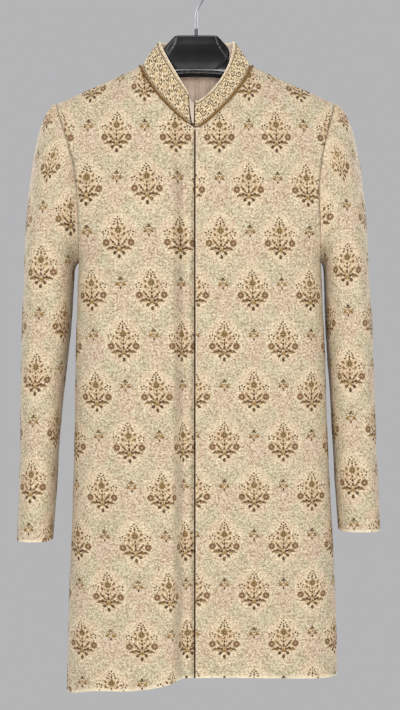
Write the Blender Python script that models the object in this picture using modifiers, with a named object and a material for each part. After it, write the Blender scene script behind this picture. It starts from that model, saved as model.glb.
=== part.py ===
"""A long sherwani coat on a moulded hanger.

Metres, +Z up. The coat faces -Y, so the wearer's right is -X and the wearer's left is +X.
The origin is the inside of the hook's top, where the hook rests on a rail.
"""
import math

import bmesh
import bpy
import numpy as np

# Walls and the gaps left at seams
CLOTH_WALL = 0.0020
COLLAR_WALL = 0.0024
FACING_WALL = 0.0012
SEAM_GAP = 0.0004
RIDGE_GAP = 0.0010

# Heights of the coat, all below the hook
NECK_HEIGHT = -0.148
SHOULDER_HEIGHT = -0.211
THROAT_HEIGHT = -0.257
UNDERARM_HEIGHT = -0.471
NAPE_DROP = 0.004
NECK_HALF_WIDTH = 0.0895
SHOULDER_HALF_WIDTH = 0.228
NECK_SHARE = 0.42
V_ROUNDING = 0.08
V_STRAIGHT = 0.8

# The body's sections: x of the side seam, or of the armhole's edge above the underarm
BODY_COLUMNS = ("height", "right_width", "left_width", "front_depth", "back_depth")
BODY_ROWS = (
    (-1.180, 0.2100, 0.2310, 0.088, 0.086),
    (-1.010, 0.2060, 0.2270, 0.087, 0.084),
    (-0.880, 0.2010, 0.2205, 0.084, 0.080),
    (-0.750, 0.1975, 0.2140, 0.081, 0.076),
    (-0.617, 0.1955, 0.2100, 0.080, 0.074),
    (-0.534, 0.1930, 0.2060, 0.081, 0.075),
    (-0.471, 0.1905, 0.2035, 0.082, 0.077),
    (-0.420, 0.1890, 0.2010, 0.082, 0.078),
    (-0.370, 0.1905, 0.1985, 0.082, 0.078),
    (-0.325, 0.1955, 0.2010, 0.081, 0.077),
    (-0.270, 0.2115, 0.2115, 0.080, 0.076),
    (-0.211, 0.2290, 0.2270, 0.080, 0.075),
    (-0.148, 0.2290, 0.2270, 0.080, 0.075),
)
BODY_POWER = 4.0
BACK_COLUMNS = 11
LOW_ROWS = 11
HIGH_ROWS = 12
ARMHOLE_ROUNDING = 0.060
ARMHOLE_REACH = 0.74
HEM_START_HEIGHT = -1.0
HEM_PROBE_HEIGHT = -1.16

# How the cloth falls away from the shoulder seam, for the front and for the back: its
# reach, and its power at the neck and at the shoulder's tip
ROOF_ROWS = {-1: (0.24, 1.35, 2.00), 1: (0.17, 3.00, 2.00)}

# The hem: its height against x, for each face
HEM_X = {-1: (-0.212, -0.170, -0.095, -0.053, -0.026, 0.000, 0.120, 0.233),
         1: (-0.212, 0.000, 0.233)}
HEM_HEIGHTS = {-1: (-1.170, -1.160, -1.156, -1.1495, -1.1415, -1.1405, -1.1410, -1.1450),
               1: (-1.170, -1.157, -1.1450)}

# The closure and the one large fold, which lies in the wearer's right front
CLOSING_X = -0.0005
UNDERLAP_X = 0.025
UNDERLAP_STEP = 0.0042
UNDERLAP_RAMP = (-0.012, -0.003)
FOLD_DEPTH = 0.022
FOLD_X = (-0.019, -0.040)
FOLD_HEIGHTS = (-0.265, -0.380)

# Columns of the fronts, for the wearer's right and left, and where extra ones lie
FRONT_COLUMNS = {-1: 13, 1: 14}
THROAT_COLUMN = 0.035
OUTER_COLUMN = 0.19
FOLD_COLUMNS = 5
COLUMN_DEPTH = 0.085

# Sleeves: centre and half sizes of the section at each height
SLEEVE_COLUMNS = ("height", "right_centre", "right_half", "left_centre", "left_half",
                  "forward", "half_depth")
SLEEVE_ROWS = (
    (-0.930, 0.2634, 0.0270, 0.2680, 0.0320, -0.022, 0.050),
    (-0.848, 0.2599, 0.0289, 0.2643, 0.0337, -0.015, 0.052),
    (-0.782, 0.2574, 0.0296, 0.2610, 0.0337, -0.010, 0.055),
    (-0.683, 0.2533, 0.0338, 0.2573, 0.0350, -0.004, 0.058),
    (-0.617, 0.2490, 0.0368, 0.2540, 0.0362, -0.001, 0.062),
    (-0.550, 0.2452, 0.0388, 0.2508, 0.0360, -0.001, 0.065),
    (-0.495, 0.2420, 0.0392, 0.2475, 0.0346, -0.002, 0.066),
)
SLEEVE_POWER = 2.7
SLEEVE_POINTS = 61
CAP_ROWS = 7
ARM_ROWS = 9
SLEEVE_TOP_HEIGHT = -0.495
CUFF_HEIGHT = {-1: -0.926, 1: -0.910}

# The collar's top edge, and the slit between its ends
COLLAR_HALF_WIDTH = 0.060
COLLAR_FRONT_DEPTH = 0.044
COLLAR_BACK_DEPTH = 0.040
COLLAR_FRONT_HEIGHT = -0.213
COLLAR_SIDE_HEIGHT = -0.107
COLLAR_BACK_RISE = 0.004
COLLAR_LIFT = 0.0022
COLLAR_CROWN = 0.0015
COLLAR_LEFT_END = -1.2
COLLAR_RIGHT_ENDS = (5.5, 12.0)
COLLAR_COLUMNS = 41
COLLAR_ROWS = 4

# The facing and the slit's strip: degrees and lengths left out at their edges
FACING_END = 1.0
FACING_FOOT = 0.003
FACING_RIM = 0.001
TAB_END = 0.9
TAB_RIM = 0.004
TAB_COLUMNS = 3

# Trims
CORD_RADIUS = 0.0020
CORD_SIDE_LIFT = 0.0026
CORD_ENDS = (3.0, 351.0)
CORD_POINTS = 60
CORD_PROBE = 0.004
PIPING_RADIUS = 0.0008
PIPING_PROUD = 0.0007
PIPING_FOOT = -1.1400
PIPING_SHORT = 0.006
PIPING_POINTS = 18
LINING_ROWS = 7
LINING_SHORT = 0.70
LINING_COLUMNS = 3

# Hanger: the moulded body's top and bottom at each half width
HANGER_COLUMNS = ("x", "top", "bottom", "half_depth")
HANGER_ROWS = (
    (0.000, -0.1350, -0.1655, 0.0100),
    (0.030, -0.1350, -0.1663, 0.0100),
    (0.050, -0.1352, -0.1688, 0.0100),
    (0.060, -0.1380, -0.1706, 0.0100),
    (0.090, -0.1565, -0.1836, 0.0105),
    (0.130, -0.1750, -0.2030, 0.0130),
    (0.170, -0.1930, -0.2210, 0.0155),
    (0.200, -0.2075, -0.2330, 0.0160),
    (0.209, -0.2140, -0.2290, 0.0120),
)
HANGER_POWER = 2.5
HANGER_RINGS = 16
HANGER_SIDES = 16
NECK_OUTLINE = ((0.0550, -0.1343), (0.0550, -0.1290), (0.0542, -0.1210), (0.0500, -0.1140),
                (0.0436, -0.1070), (0.0390, -0.1020), (0.0345, -0.0980))
NECK_THICKNESS = 0.016
NECK_BEVEL = 0.0015
FERRULE_RADIUS = 0.0036
FERRULE_TOP = -0.0860
WIRE_RADIUS = 0.0018
CROOK_RADIUS = 0.0200
CROOK_START = -35.0
CROOK_END = 205.0
STEM_TOP = -0.0680
STEM_PULL = 0.014

COLLECTION_NAME = "sherwani_coat"


def clear_scene():
    for thing in list(bpy.data.objects):
        bpy.data.objects.remove(thing, do_unlink=True)


def make_material(name, colour, roughness, metallic=0.0):
    material = bpy.data.materials.new(name)
    material.use_nodes = True
    shader = material.node_tree.nodes["Principled BSDF"]
    shader.inputs["Base Color"].default_value = (*colour, 1.0)
    shader.inputs["Roughness"].default_value = roughness
    shader.inputs["Metallic"].default_value = metallic
    return material


def column(rows, names, name):
    """One named column of a table, with the table's rows in rising order of the first."""
    table = np.array(sorted(rows))
    return table[:, names.index(name)]


def through(at, places, values):
    """A smooth curve through a table's rows: cubic pieces with each row's slope taken
    from its neighbours."""
    places, values = np.asarray(places, float), np.asarray(values, float)
    at = np.clip(at, places[0], places[-1])
    slopes = np.gradient(values, places)
    k = np.clip(np.searchsorted(places, at) - 1, 0, len(places) - 2)
    span = places[k + 1] - places[k]
    t = (at - places[k]) / span
    start = (2 * t**3 - 3 * t**2 + 1) * values[k] + (t**3 - 2 * t**2 + t) * span * slopes[k]
    end = (3 * t**2 - 2 * t**3) * values[k + 1] + (t**3 - t**2) * span * slopes[k + 1]
    return start + end


def ease(value, start, end):
    """0 before start, 1 past end, and a soft step between them."""
    t = np.clip((value - start) / (end - start), 0.0, 1.0)
    return t * t * (3.0 - 2.0 * t)


def body_column(height, name):
    heights = column(BODY_ROWS, BODY_COLUMNS, "height")
    return through(height, heights, column(BODY_ROWS, BODY_COLUMNS, name))


def side_name(side, word):
    return ("right_" if side < 0 else "left_") + word


def armhole_cut(height):
    """Share of the body's depth where the armhole's edge lies: a quarter ellipse that
    opens upwards from the underarm."""
    rise = np.clip((height - UNDERARM_HEIGHT) / ARMHOLE_ROUNDING, 0.0, 1.0)
    return ARMHOLE_REACH * np.sqrt(1.0 - (1.0 - rise) ** 2)


def half_sizes(height, side, face):
    """Half width and half depth of the body's section at a height. Above the underarm
    the width is that of the whole superellipse that the armhole cuts."""
    seam = body_column(height, side_name(side, "width"))
    depth = body_column(height, "front_depth" if face < 0 else "back_depth")
    uncut = (1.0 - armhole_cut(height) ** BODY_POWER) ** (1.0 / BODY_POWER)
    return seam / uncut, depth


def shoulder_line(x):
    return np.interp(np.abs(x), (NECK_HALF_WIDTH, SHOULDER_HALF_WIDTH),
                     (NECK_HEIGHT, SHOULDER_HEIGHT))


def roof(x, height, face):
    """Share of the depth left below the shoulder seam: 0 on the seam, then a quarter of
    a superellipse, then 1."""
    reach, neck_power, tip_power = ROOF_ROWS[face]
    power = neck_power + (tip_power - neck_power) * (x / SHOULDER_HALF_WIDTH) ** 2
    down = np.clip((shoulder_line(x) - height) / reach, 0.0, 1.0)
    return (1.0 - (1.0 - down) ** power) ** (1.0 / power)


def fold(x, height, share):
    """How far the fold in the wearer's right front stands forward."""
    inside = ease(x, FOLD_X[0], FOLD_X[1])
    return FOLD_DEPTH * inside * ease(height, *FOLD_HEIGHTS) * share


def body_point(angle, height, side, face):
    """A point of the body. Angle runs from the centre line, 0, to the side seam, a
    quarter turn. The section is a superellipse, flattened towards the shoulder seam."""
    half_width, half_depth = half_sizes(height, side, face)
    ahead, across = np.abs(np.cos(angle)) / half_depth, np.abs(np.sin(angle)) / half_width
    radius = (ahead ** BODY_POWER + across ** BODY_POWER) ** (-1.0 / BODY_POWER)
    x = side * radius * np.sin(angle)
    share = radius * np.cos(angle) / half_depth
    cover = roof(x, height, face)
    depth = share * half_depth * cover + RIDGE_GAP * (1.0 - cover)
    if side < 0 and face < 0:
        depth = depth + fold(x, height, share)
        depth = depth - UNDERLAP_STEP * ease(x, *UNDERLAP_RAMP)
    y = face * (SEAM_GAP / 2 + depth)
    return np.stack(np.broadcast_arrays(x, y, height), axis=-1)


def angle_at(x, height, side, face):
    """The angle at which the section reaches a given distance from the centre line."""
    half_width, half_depth = half_sizes(height, side, face)
    rest = np.clip(1.0 - (np.abs(x) / half_width) ** BODY_POWER, 0.0, 1.0)
    return np.arctan2(x, half_depth * rest ** (1.0 / BODY_POWER))


def neckline(turn, face):
    """x and height of the neck seam. Turn is 0 at the centre and a quarter turn where
    the neck meets the shoulder. The front is a soft V, the back a shallow curve."""
    x = NECK_HALF_WIDTH * np.sin(turn)
    if face > 0:
        return x, NECK_HEIGHT - NAPE_DROP * np.cos(turn)
    return x, THROAT_HEIGHT + (NECK_HEIGHT - THROAT_HEIGHT) * v_rise(np.sin(turn))


def v_rise(share):
    """Rise of the V from 0 at the centre to 1 at the side: mostly straight, rounded at
    its foot and turned up at its end."""
    straight = np.sqrt(share**2 + V_ROUNDING**2) - V_ROUNDING
    straight = straight / (math.hypot(1.0, V_ROUNDING) - V_ROUNDING)
    turned_up = 1.0 - np.sqrt(1.0 - np.clip(share, -1.0, 1.0) ** 2)
    return V_STRAIGHT * straight + (1.0 - V_STRAIGHT) * turned_up


def panel_top(share, start, face, side):
    """Angle and height of a panel's top edge: the neck seam up to NECK_SHARE of the
    way across, then the shoulder seam."""
    turn = start + (math.pi / 2 - start) * np.clip(share / NECK_SHARE, 0.0, 1.0)
    x, height = neckline(np.maximum(turn, 0.0), face)
    x = np.where(turn < 0.0, NECK_HALF_WIDTH * np.sin(turn), x)
    along = np.clip((share - NECK_SHARE) / (1.0 - NECK_SHARE), 0.0, 1.0)
    tip = body_column(SHOULDER_HEIGHT, side_name(side, "width"))
    x = np.where(along > 0.0, NECK_HALF_WIDTH + (tip - NECK_HALF_WIDTH) * along, x)
    height = np.where(along > 0.0, shoulder_line(x), height)
    return angle_at(x, height, side, face), height


def armhole_steps(rows):
    """Shares of the armhole's height, closer together at its foot and at its top."""
    return 0.5 - 0.5 * np.cos(np.linspace(0.0, math.pi, rows))


def panel_grid(side, face, start_x, shares, low_rows, high_rows):
    """Grid of one panel's points, from its centre edge (share 0) to its side (share 1),
    and from the hem, up the side seam, up the armhole and to the neck and shoulder."""
    side_angle = math.pi / 2
    hem_angle = angle_at(np.full(1, start_x), HEM_START_HEIGHT, side, face)[0]
    low_angles = hem_angle + (side_angle - hem_angle) * shares
    hem_x = body_point(low_angles, np.full_like(shares, HEM_PROBE_HEIGHT), side, face)[:, 0]
    hem = through(hem_x, HEM_X[face], HEM_HEIGHTS[face])
    grid = []
    for t in np.linspace(0.0, 1.0, low_rows, endpoint=False):
        height = hem + (UNDERARM_HEIGHT - hem) * t
        start = angle_at(np.full(1, start_x), height[0], side, face)[0]
        grid.append(body_point(start + (side_angle - start) * shares, height, side, face))
    neck_start = math.asin(start_x / NECK_HALF_WIDTH)
    top_angles, top_heights = panel_top(shares, neck_start, face, side)
    for t in armhole_steps(high_rows):
        height = UNDERARM_HEIGHT + (top_heights - UNDERARM_HEIGHT) * t
        seam = body_column(height[-1], side_name(side, "width"))
        edge = math.atan2(seam, armhole_cut(height[-1]) * half_sizes(height[-1], side, face)[1])
        start = angle_at(np.full(1, start_x), height[0], side, face)[0]
        low_shape = start + (edge - start) * shares
        high_shape = top_angles + (edge - top_angles[-1]) * shares
        grid.append(body_point(low_shape + (high_shape - low_shape) * t, height, side, face))
    return np.array(grid)


def armhole_edge(side, face):
    """The armhole's edge on one face, from the shoulder's tip down to the underarm, at the
    panel's own rows. It is moved out past the panel's wall."""
    height = SHOULDER_HEIGHT + (UNDERARM_HEIGHT - SHOULDER_HEIGHT) * armhole_steps(HIGH_ROWS)
    seam = body_column(height, side_name(side, "width"))
    angle = np.arctan2(seam, armhole_cut(height) * half_sizes(height, side, face)[1])
    points = body_point(angle, height, side, face)
    points[:, 0] += side * (SEAM_GAP + CLOTH_WALL / 2)
    points[(0, -1), 1] = 0.0
    return points


def spaced(points, shares):
    """Points at given shares of a path's length."""
    steps = np.linalg.norm(np.diff(points, axis=0), axis=1)
    run = np.concatenate(([0.0], np.cumsum(steps)))
    return np.column_stack([np.interp(shares * run[-1], run, axis) for axis in points.T])


def sleeve_ring(height, side, face):
    """Half of the sleeve's section on one face, from its outer side to its inner one."""
    heights = column(SLEEVE_ROWS, SLEEVE_COLUMNS, "height")

    def size(name):
        return through(height, heights, column(SLEEVE_ROWS, SLEEVE_COLUMNS, name))

    angle = np.linspace(0.0, math.pi, SLEEVE_POINTS)
    half_x, half_y = size(side_name(side, "half")), size("half_depth")
    bulk = (np.abs(np.cos(angle)) / half_x) ** SLEEVE_POWER
    bulk = bulk + (np.abs(np.sin(angle)) / half_y) ** SLEEVE_POWER
    radius = bulk ** (-1.0 / SLEEVE_POWER)
    x = side * (size(side_name(side, "centre")) + radius * np.cos(angle))
    y = size("forward") + face * radius * np.sin(angle)
    return np.column_stack((x, y, np.full_like(x, height)))


def path_shares(points):
    """How far along a path each of its points lies, from 0 to 1."""
    run = np.concatenate(([0.0], np.cumsum(np.linalg.norm(np.diff(points, axis=0), axis=1))))
    return run / run[-1]


def closed_loop(front, back):
    """A closed loop of points: down the front half and back up the back half."""
    return np.vstack((front[:-1], back[::-1][:-1]))


def sleeve_grid(side):
    """Rings of the sleeve. Over the cap each point runs on a quarter of an ellipse from
    the armhole's edge, outwards and then down, to the sleeve's top ring."""
    edges = [armhole_edge(side, face) for face in (-1, 1)]
    shares = [path_shares(edge) for edge in edges]

    def ring(height):
        halves = [spaced(sleeve_ring(height, side, face), share)
                  for face, share in zip((-1, 1), shares)]
        return closed_loop(*halves)

    edge, top = closed_loop(*edges), ring(SLEEVE_TOP_HEIGHT)
    rings = []
    for turn in np.linspace(0.0, math.pi / 2, CAP_ROWS):
        out, down = math.sin(turn), 1.0 - math.cos(turn)
        rings.append(edge + (top - edge) * np.array((out, out, down)))
    for height in np.linspace(SLEEVE_TOP_HEIGHT, CUFF_HEIGHT[side], ARM_ROWS)[1:]:
        rings.append(ring(height))
    return np.array(rings)


def collar_base(turn, below=0.0):
    """The neck seam all round, or the cloth a little below it. Turn is 0 at the throat,
    positive towards the wearer's left, and half a turn at the nape."""
    face_front = np.abs(turn) <= math.pi / 2
    near = np.where(face_front, np.abs(turn), math.pi - np.abs(turn))
    side_sign = np.where(turn < 0.0, -1, 1)
    points = np.empty((len(turn), 3))
    for side in (-1, 1):
        for face in (-1, 1):
            pick = (side_sign == side) & (face_front == (face < 0))
            x, height = neckline(near[pick], face)
            angle = angle_at(x, height - below, 1, face)
            points[pick] = body_point(angle, height - below, 1, face)
            points[pick, 0] *= side
    return points


def collar_top(turn):
    """The band's top edge: an ellipse in plan, a V from the front, a little higher behind."""
    front = np.abs(turn) <= math.pi / 2
    x = COLLAR_HALF_WIDTH * np.sin(turn)
    y = -np.cos(turn) * np.where(front, COLLAR_FRONT_DEPTH, COLLAR_BACK_DEPTH)
    rise = (COLLAR_SIDE_HEIGHT - COLLAR_FRONT_HEIGHT) * v_rise(np.abs(np.sin(turn)))
    height = np.where(front, COLLAR_FRONT_HEIGHT + rise,
                      COLLAR_SIDE_HEIGHT + COLLAR_BACK_RISE * np.cos(turn) ** 2)
    return np.column_stack((x, y, height))


def band_row(turn, up, low, high):
    """One row round the band: up is its share of the way from the foot to the rim."""
    foot, rim = collar_base(turn), collar_top(turn)
    rise = rim - foot
    length = np.linalg.norm(rise, axis=1)[:, None]
    out = rim * np.array((1.0, 1.0, 0.0))
    out = out / np.linalg.norm(out, axis=1)[:, None]
    place = (low + (length - low - high) * up) / length
    return foot + rise * place + out * COLLAR_CROWN * math.sin(math.pi * up)


def band_grid(first, last, count, low, high, inward=0.0):
    """Rows of the band from one end to the other, moved inwards. First and last give an
    end's turn, in degrees, at its foot and at its top. Low and high are lengths left out
    at the neck seam and at the rim."""
    grid = []
    for up in np.linspace(0.0, 1.0, COLLAR_ROWS):
        start, end = (a + (b - a) * up for a, b in (first, last))
        turn = np.linspace(start, end, count)
        turn = np.where(turn > 180.0, turn - 360.0, turn)
        grid.append(band_row(np.radians(turn), up, low, high))
    return moved(np.array(grid), -inward)


def moved(grid, distance):
    """A grid moved along its own normals. They point out where its columns run towards
    the wearer's left on the front and its rows run up."""
    normals = np.cross(np.gradient(grid, axis=1), np.gradient(grid, axis=0))
    return grid + unit(normals) * distance


def unit(vectors):
    return vectors / np.linalg.norm(vectors, axis=-1, keepdims=True)


def add_object(name, mesh, material, collection):
    thing = bpy.data.objects.new(name, mesh)
    thing.data.materials.append(material)
    collection.objects.link(thing)
    return thing


def grid_faces(rows, columns, closed):
    across = columns if closed else columns - 1
    return [(r * columns + c, r * columns + (c + 1) % columns,
             (r + 1) * columns + (c + 1) % columns, (r + 1) * columns + c)
            for r in range(rows - 1) for c in range(across)]


def add_sheet(name, grid, wall, material, collection, closed=False):
    """An open surface through a grid of points, with its wall from Solidify."""
    rows, columns = grid.shape[:2]
    mesh = bpy.data.meshes.new(name)
    mesh.from_pydata(grid.reshape(-1, 3).tolist(), [], grid_faces(rows, columns, closed))
    mesh.shade_smooth()
    thing = add_object(name, mesh, material, collection)
    shell = thing.modifiers.new("wall", "SOLIDIFY")
    shell.thickness = wall
    shell.offset = 0.0
    return thing


def add_tube(name, points, radius, material, collection, roundness=2):
    """A cord or wire: a poly curve with a round bevel and filled ends."""
    curve = bpy.data.curves.new(name, "CURVE")
    curve.dimensions = "3D"
    curve.bevel_depth = radius
    curve.bevel_resolution = roundness
    curve.use_fill_caps = True
    spline = curve.splines.new("POLY")
    spline.points.add(len(points) - 1)
    spline.points.foreach_set("co", np.column_stack((points, np.ones(len(points)))).ravel())
    return add_object(name, curve, material, collection)


def front_columns(side, start_x):
    """Shares across a front panel, closer together at the throat, and on the wearer's
    right over the underlap's step and the fold."""
    even = np.linspace(0.0, 1.0, FRONT_COLUMNS[side])
    if side > 0:
        return np.union1d(even, (THROAT_COLUMN,))
    edges = np.concatenate((UNDERLAP_RAMP, np.linspace(*FOLD_X, FOLD_COLUMNS)))
    start, steps = math.atan2(start_x, COLUMN_DEPTH), np.arctan2(-edges, COLUMN_DEPTH)
    folded = (steps - start) / (math.pi / 2 - start)
    return np.union1d(even, np.append(folded, OUTER_COLUMN))


def build_fronts_and_back(material, collection):
    for side, name, start in ((-1, "front_right", -UNDERLAP_X), (1, "front_left", CLOSING_X)):
        grid = panel_grid(side, -1, start, front_columns(side, start), LOW_ROWS, HIGH_ROWS)
        add_sheet(name, grid, CLOTH_WALL, material, collection)
    add_sheet("back", back_grid(), CLOTH_WALL, material, collection)


def back_grid():
    """Both halves of the back as one grid, from the wearer's right to the left."""
    shares = np.linspace(0.0, 1.0, BACK_COLUMNS)
    halves = [panel_grid(side, 1, 0.0, shares, LOW_ROWS, HIGH_ROWS) for side in (-1, 1)]
    return np.concatenate((halves[0][:, :0:-1], halves[1]), axis=1)


def build_sleeves(material, collection):
    for side, name in ((-1, "sleeve_right"), (1, "sleeve_left")):
        add_sheet(name, sleeve_grid(side), CLOTH_WALL, material, collection, closed=True)


def build_collar(band, facing, collection):
    left_end = [COLLAR_LEFT_END] * 2
    right_end = [360.0 - angle for angle in COLLAR_RIGHT_ENDS]
    outer = band_grid(left_end, right_end, COLLAR_COLUMNS, COLLAR_LIFT, 0.0)
    add_sheet("collar", outer, COLLAR_WALL, band, collection)
    foot = COLLAR_LIFT + FACING_FOOT
    inset = (COLLAR_WALL + FACING_WALL) / 2 + SEAM_GAP
    inner = band_grid([a + FACING_END for a in left_end], [a - FACING_END for a in right_end],
                      COLLAR_COLUMNS, foot, FACING_RIM, inset)
    add_sheet("collar_facing", inner, FACING_WALL, facing, collection)
    slit = [TAB_END - a for a in COLLAR_RIGHT_ENDS], [a - TAB_END for a in left_end]
    tab = band_grid(*slit, TAB_COLUMNS, foot, TAB_RIM, FACING_WALL / 2)
    add_sheet("collar_tab", tab, FACING_WALL, facing, collection)


def collar_cord_path():
    """A path in the corner between the band and the body, clear of both walls."""
    turn = np.radians(np.linspace(*CORD_ENDS, CORD_POINTS))
    turn = np.where(turn > math.pi, turn - 2 * math.pi, turn)
    foot = collar_base(turn)
    run = np.gradient(foot, axis=0)
    band_normal = unit(np.cross(run, collar_top(turn) - foot))
    body_normal = unit(np.cross(collar_base(turn, below=CORD_PROBE) - foot, run))
    middle = (band_normal + body_normal) / 2
    reach = COLLAR_WALL / 2 + CORD_RADIUS + SEAM_GAP + CORD_SIDE_LIFT * np.sin(turn) ** 8
    return foot + middle * (reach / np.sum(middle**2, axis=1))[:, None]


def build_trims(bronze, collection):
    add_tube("collar_cord", collar_cord_path(), CORD_RADIUS, bronze, collection, roundness=1)
    height = np.linspace(PIPING_FOOT, THROAT_HEIGHT - PIPING_SHORT, PIPING_POINTS)
    edge_x = np.full_like(height, CLOSING_X)
    edge = body_point(angle_at(edge_x, height, 1, -1), height, 1, -1)
    edge[:, 0] = CLOSING_X - PIPING_RADIUS - SEAM_GAP
    edge[:, 1] -= PIPING_PROUD
    add_tube("front_piping", edge, PIPING_RADIUS, bronze, collection, roundness=1)


def build_lining(facing, collection):
    """The lining behind the neck: the middle of the back's top rows, moved in."""
    inner = moved(back_grid(), (CLOTH_WALL + FACING_WALL) / 2 + SEAM_GAP)
    middle = inner.shape[1] // 2
    lining = inner[-LINING_ROWS:, middle - LINING_COLUMNS:middle + LINING_COLUMNS + 1]
    lining[-1] += (lining[-2] - lining[-1]) * LINING_SHORT
    add_sheet("back_lining", lining, FACING_WALL, facing, collection)


def hanger_section(half_height, half_depth):
    """A superellipse in the plane across the hanger's arm."""
    angle = np.linspace(0.0, 2 * math.pi, HANGER_SIDES, endpoint=False)
    c, s = np.cos(angle), np.sin(angle)
    radius = (np.abs(c) ** HANGER_POWER + np.abs(s) ** HANGER_POWER) ** (-1.0 / HANGER_POWER)
    return half_depth * radius * c, half_height * radius * s


def build_hanger(plastic, steel, collection):
    half, tops, bottoms, depths = (column(HANGER_ROWS, HANGER_COLUMNS, name)
                                   for name in HANGER_COLUMNS)
    reach = np.union1d(np.linspace(0.0, half[-2], HANGER_RINGS), half[-1:])
    x = np.concatenate((-reach[:0:-1], reach))
    top, bottom, depth = (through(np.abs(x), half, values)
                          for values in (tops, bottoms, depths))
    rings = []
    for place in range(len(x)):
        across, up = hanger_section((top[place] - bottom[place]) / 2, depth[place])
        middle = (top[place] + bottom[place]) / 2
        rings.append(np.column_stack((np.full_like(up, x[place]), across, middle + up)))
    grid = np.array(rings)
    rows, columns = grid.shape[:2]
    mesh = bpy.data.meshes.new("hanger_body")
    caps = [tuple(range(columns))[::-1], tuple((rows - 1) * columns + c for c in range(columns))]
    faces = grid_faces(rows, columns, True) + caps
    mesh.from_pydata(grid.reshape(-1, 3).tolist(), [], faces)
    outward(mesh)
    mesh.shade_smooth()
    add_object("hanger_body", mesh, plastic, collection)
    build_hanger_neck(plastic, collection)
    build_hook(steel, collection)


def outward(mesh):
    work = bmesh.new()
    work.from_mesh(mesh)
    bmesh.ops.recalc_face_normals(work, faces=work.faces)
    work.to_mesh(mesh)
    work.free()


def build_hanger_neck(plastic, collection):
    """The raised trapezoid that carries the hook: a flat outline with a rounded edge."""
    outline = [(x, z) for x, z in NECK_OUTLINE] + [(-x, z) for x, z in reversed(NECK_OUTLINE)]
    curve = bpy.data.curves.new("hanger_neck", "CURVE")
    curve.dimensions = "2D"
    curve.fill_mode = "BOTH"
    curve.extrude = NECK_THICKNESS / 2 - NECK_BEVEL
    curve.bevel_depth = NECK_BEVEL
    curve.bevel_resolution = 2
    spline = curve.splines.new("POLY")
    spline.points.add(len(outline) - 1)
    for point, (x, z) in zip(spline.points, outline):
        point.co = (x, z, 0.0, 1.0)
    spline.use_cyclic_u = True
    curve.offset = -NECK_BEVEL
    neck = add_object("hanger_neck", curve, plastic, collection)
    neck.rotation_euler = (math.pi / 2, 0.0, 0.0)


def build_hook(steel, collection):
    foot = max(z for _, z in NECK_OUTLINE) + SEAM_GAP
    bpy.ops.mesh.primitive_cylinder_add(vertices=24, radius=FERRULE_RADIUS,
                                        depth=FERRULE_TOP - foot,
                                        location=(0.0, 0.0, (FERRULE_TOP + foot) / 2))
    ferrule = bpy.context.object
    ferrule.name = "hook_ferrule"
    ferrule.data.materials.append(steel)
    for holder in ferrule.users_collection:
        holder.objects.unlink(ferrule)
    collection.objects.link(ferrule)
    rim = ferrule.modifiers.new("rim", "BEVEL")
    rim.width = 0.0006
    rim.segments = 2
    centre = np.array((0.0, WIRE_RADIUS - CROOK_RADIUS))
    angle = np.radians(np.linspace(CROOK_START, CROOK_END, 30))
    crook = centre + CROOK_RADIUS * np.column_stack((np.cos(angle), np.sin(angle)))
    tangent = np.array((-math.sin(angle[0]), math.cos(angle[0])))
    ends = [np.array((0.0, STEM_TOP)), np.array((0.0, STEM_TOP + STEM_PULL)),
            crook[0] - tangent * STEM_PULL, crook[0]]
    t = np.linspace(0.0, 1.0, 12)[:, None]
    bend = ((1 - t) ** 3 * ends[0] + 3 * (1 - t) ** 2 * t * ends[1]
            + 3 * (1 - t) * t**2 * ends[2] + t**3 * ends[3])
    wire = np.vstack(([(0.0, FERRULE_TOP + SEAM_GAP)], bend, crook[1:]))
    points = np.column_stack((wire[:, 0], np.zeros(len(wire)), wire[:, 1]))
    add_tube("hook", points, WIRE_RADIUS, steel, collection)


def main():
    clear_scene()
    collection = bpy.data.collections.new(COLLECTION_NAME)
    bpy.context.scene.collection.children.link(collection)
    brocade = make_material("ivory_brocade", (0.62, 0.50, 0.34), 0.6)
    band = make_material("worked_collar", (0.42, 0.30, 0.16), 0.55)
    facing = make_material("pink_satin", (0.60, 0.42, 0.32), 0.4)
    bronze = make_material("bronze_cord", (0.30, 0.18, 0.07), 0.45, 0.3)
    plastic = make_material("black_plastic", (0.012, 0.012, 0.013), 0.18)
    steel = make_material("steel_wire", (0.55, 0.55, 0.55), 0.25, 1.0)
    build_fronts_and_back(brocade, collection)
    build_sleeves(brocade, collection)
    build_collar(band, facing, collection)
    build_trims(bronze, collection)
    build_lining(facing, collection)
    build_hanger(plastic, steel, collection)


main()
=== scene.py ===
# %% [markdown]
# # A sherwani coat on its hanger
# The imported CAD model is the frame: it says where every piece is. This notebook gives each
# piece its looks. The cloth is made again as fine surfaces on the same sections, the woven
# flowers lie on it as low relief, and every surface gets a node-based finish.
# All lengths are in metres, +Z is up, and the coat faces -Y.

# %% Load the frame
import math

import bmesh
import bpy
import numpy as np
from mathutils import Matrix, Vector


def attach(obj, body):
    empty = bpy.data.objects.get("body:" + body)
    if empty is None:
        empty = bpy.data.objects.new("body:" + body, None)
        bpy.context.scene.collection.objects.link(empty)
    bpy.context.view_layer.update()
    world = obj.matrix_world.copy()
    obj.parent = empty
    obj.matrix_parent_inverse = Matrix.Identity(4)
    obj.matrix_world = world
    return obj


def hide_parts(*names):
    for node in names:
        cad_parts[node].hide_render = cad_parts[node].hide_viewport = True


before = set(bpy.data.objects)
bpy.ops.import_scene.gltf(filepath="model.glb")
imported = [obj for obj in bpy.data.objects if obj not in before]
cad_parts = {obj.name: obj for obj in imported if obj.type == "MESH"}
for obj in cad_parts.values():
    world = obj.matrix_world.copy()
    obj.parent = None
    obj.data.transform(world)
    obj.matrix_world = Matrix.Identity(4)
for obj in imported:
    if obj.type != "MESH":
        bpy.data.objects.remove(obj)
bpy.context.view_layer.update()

print("CAD nodes:", ", ".join(sorted(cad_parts)))

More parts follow.
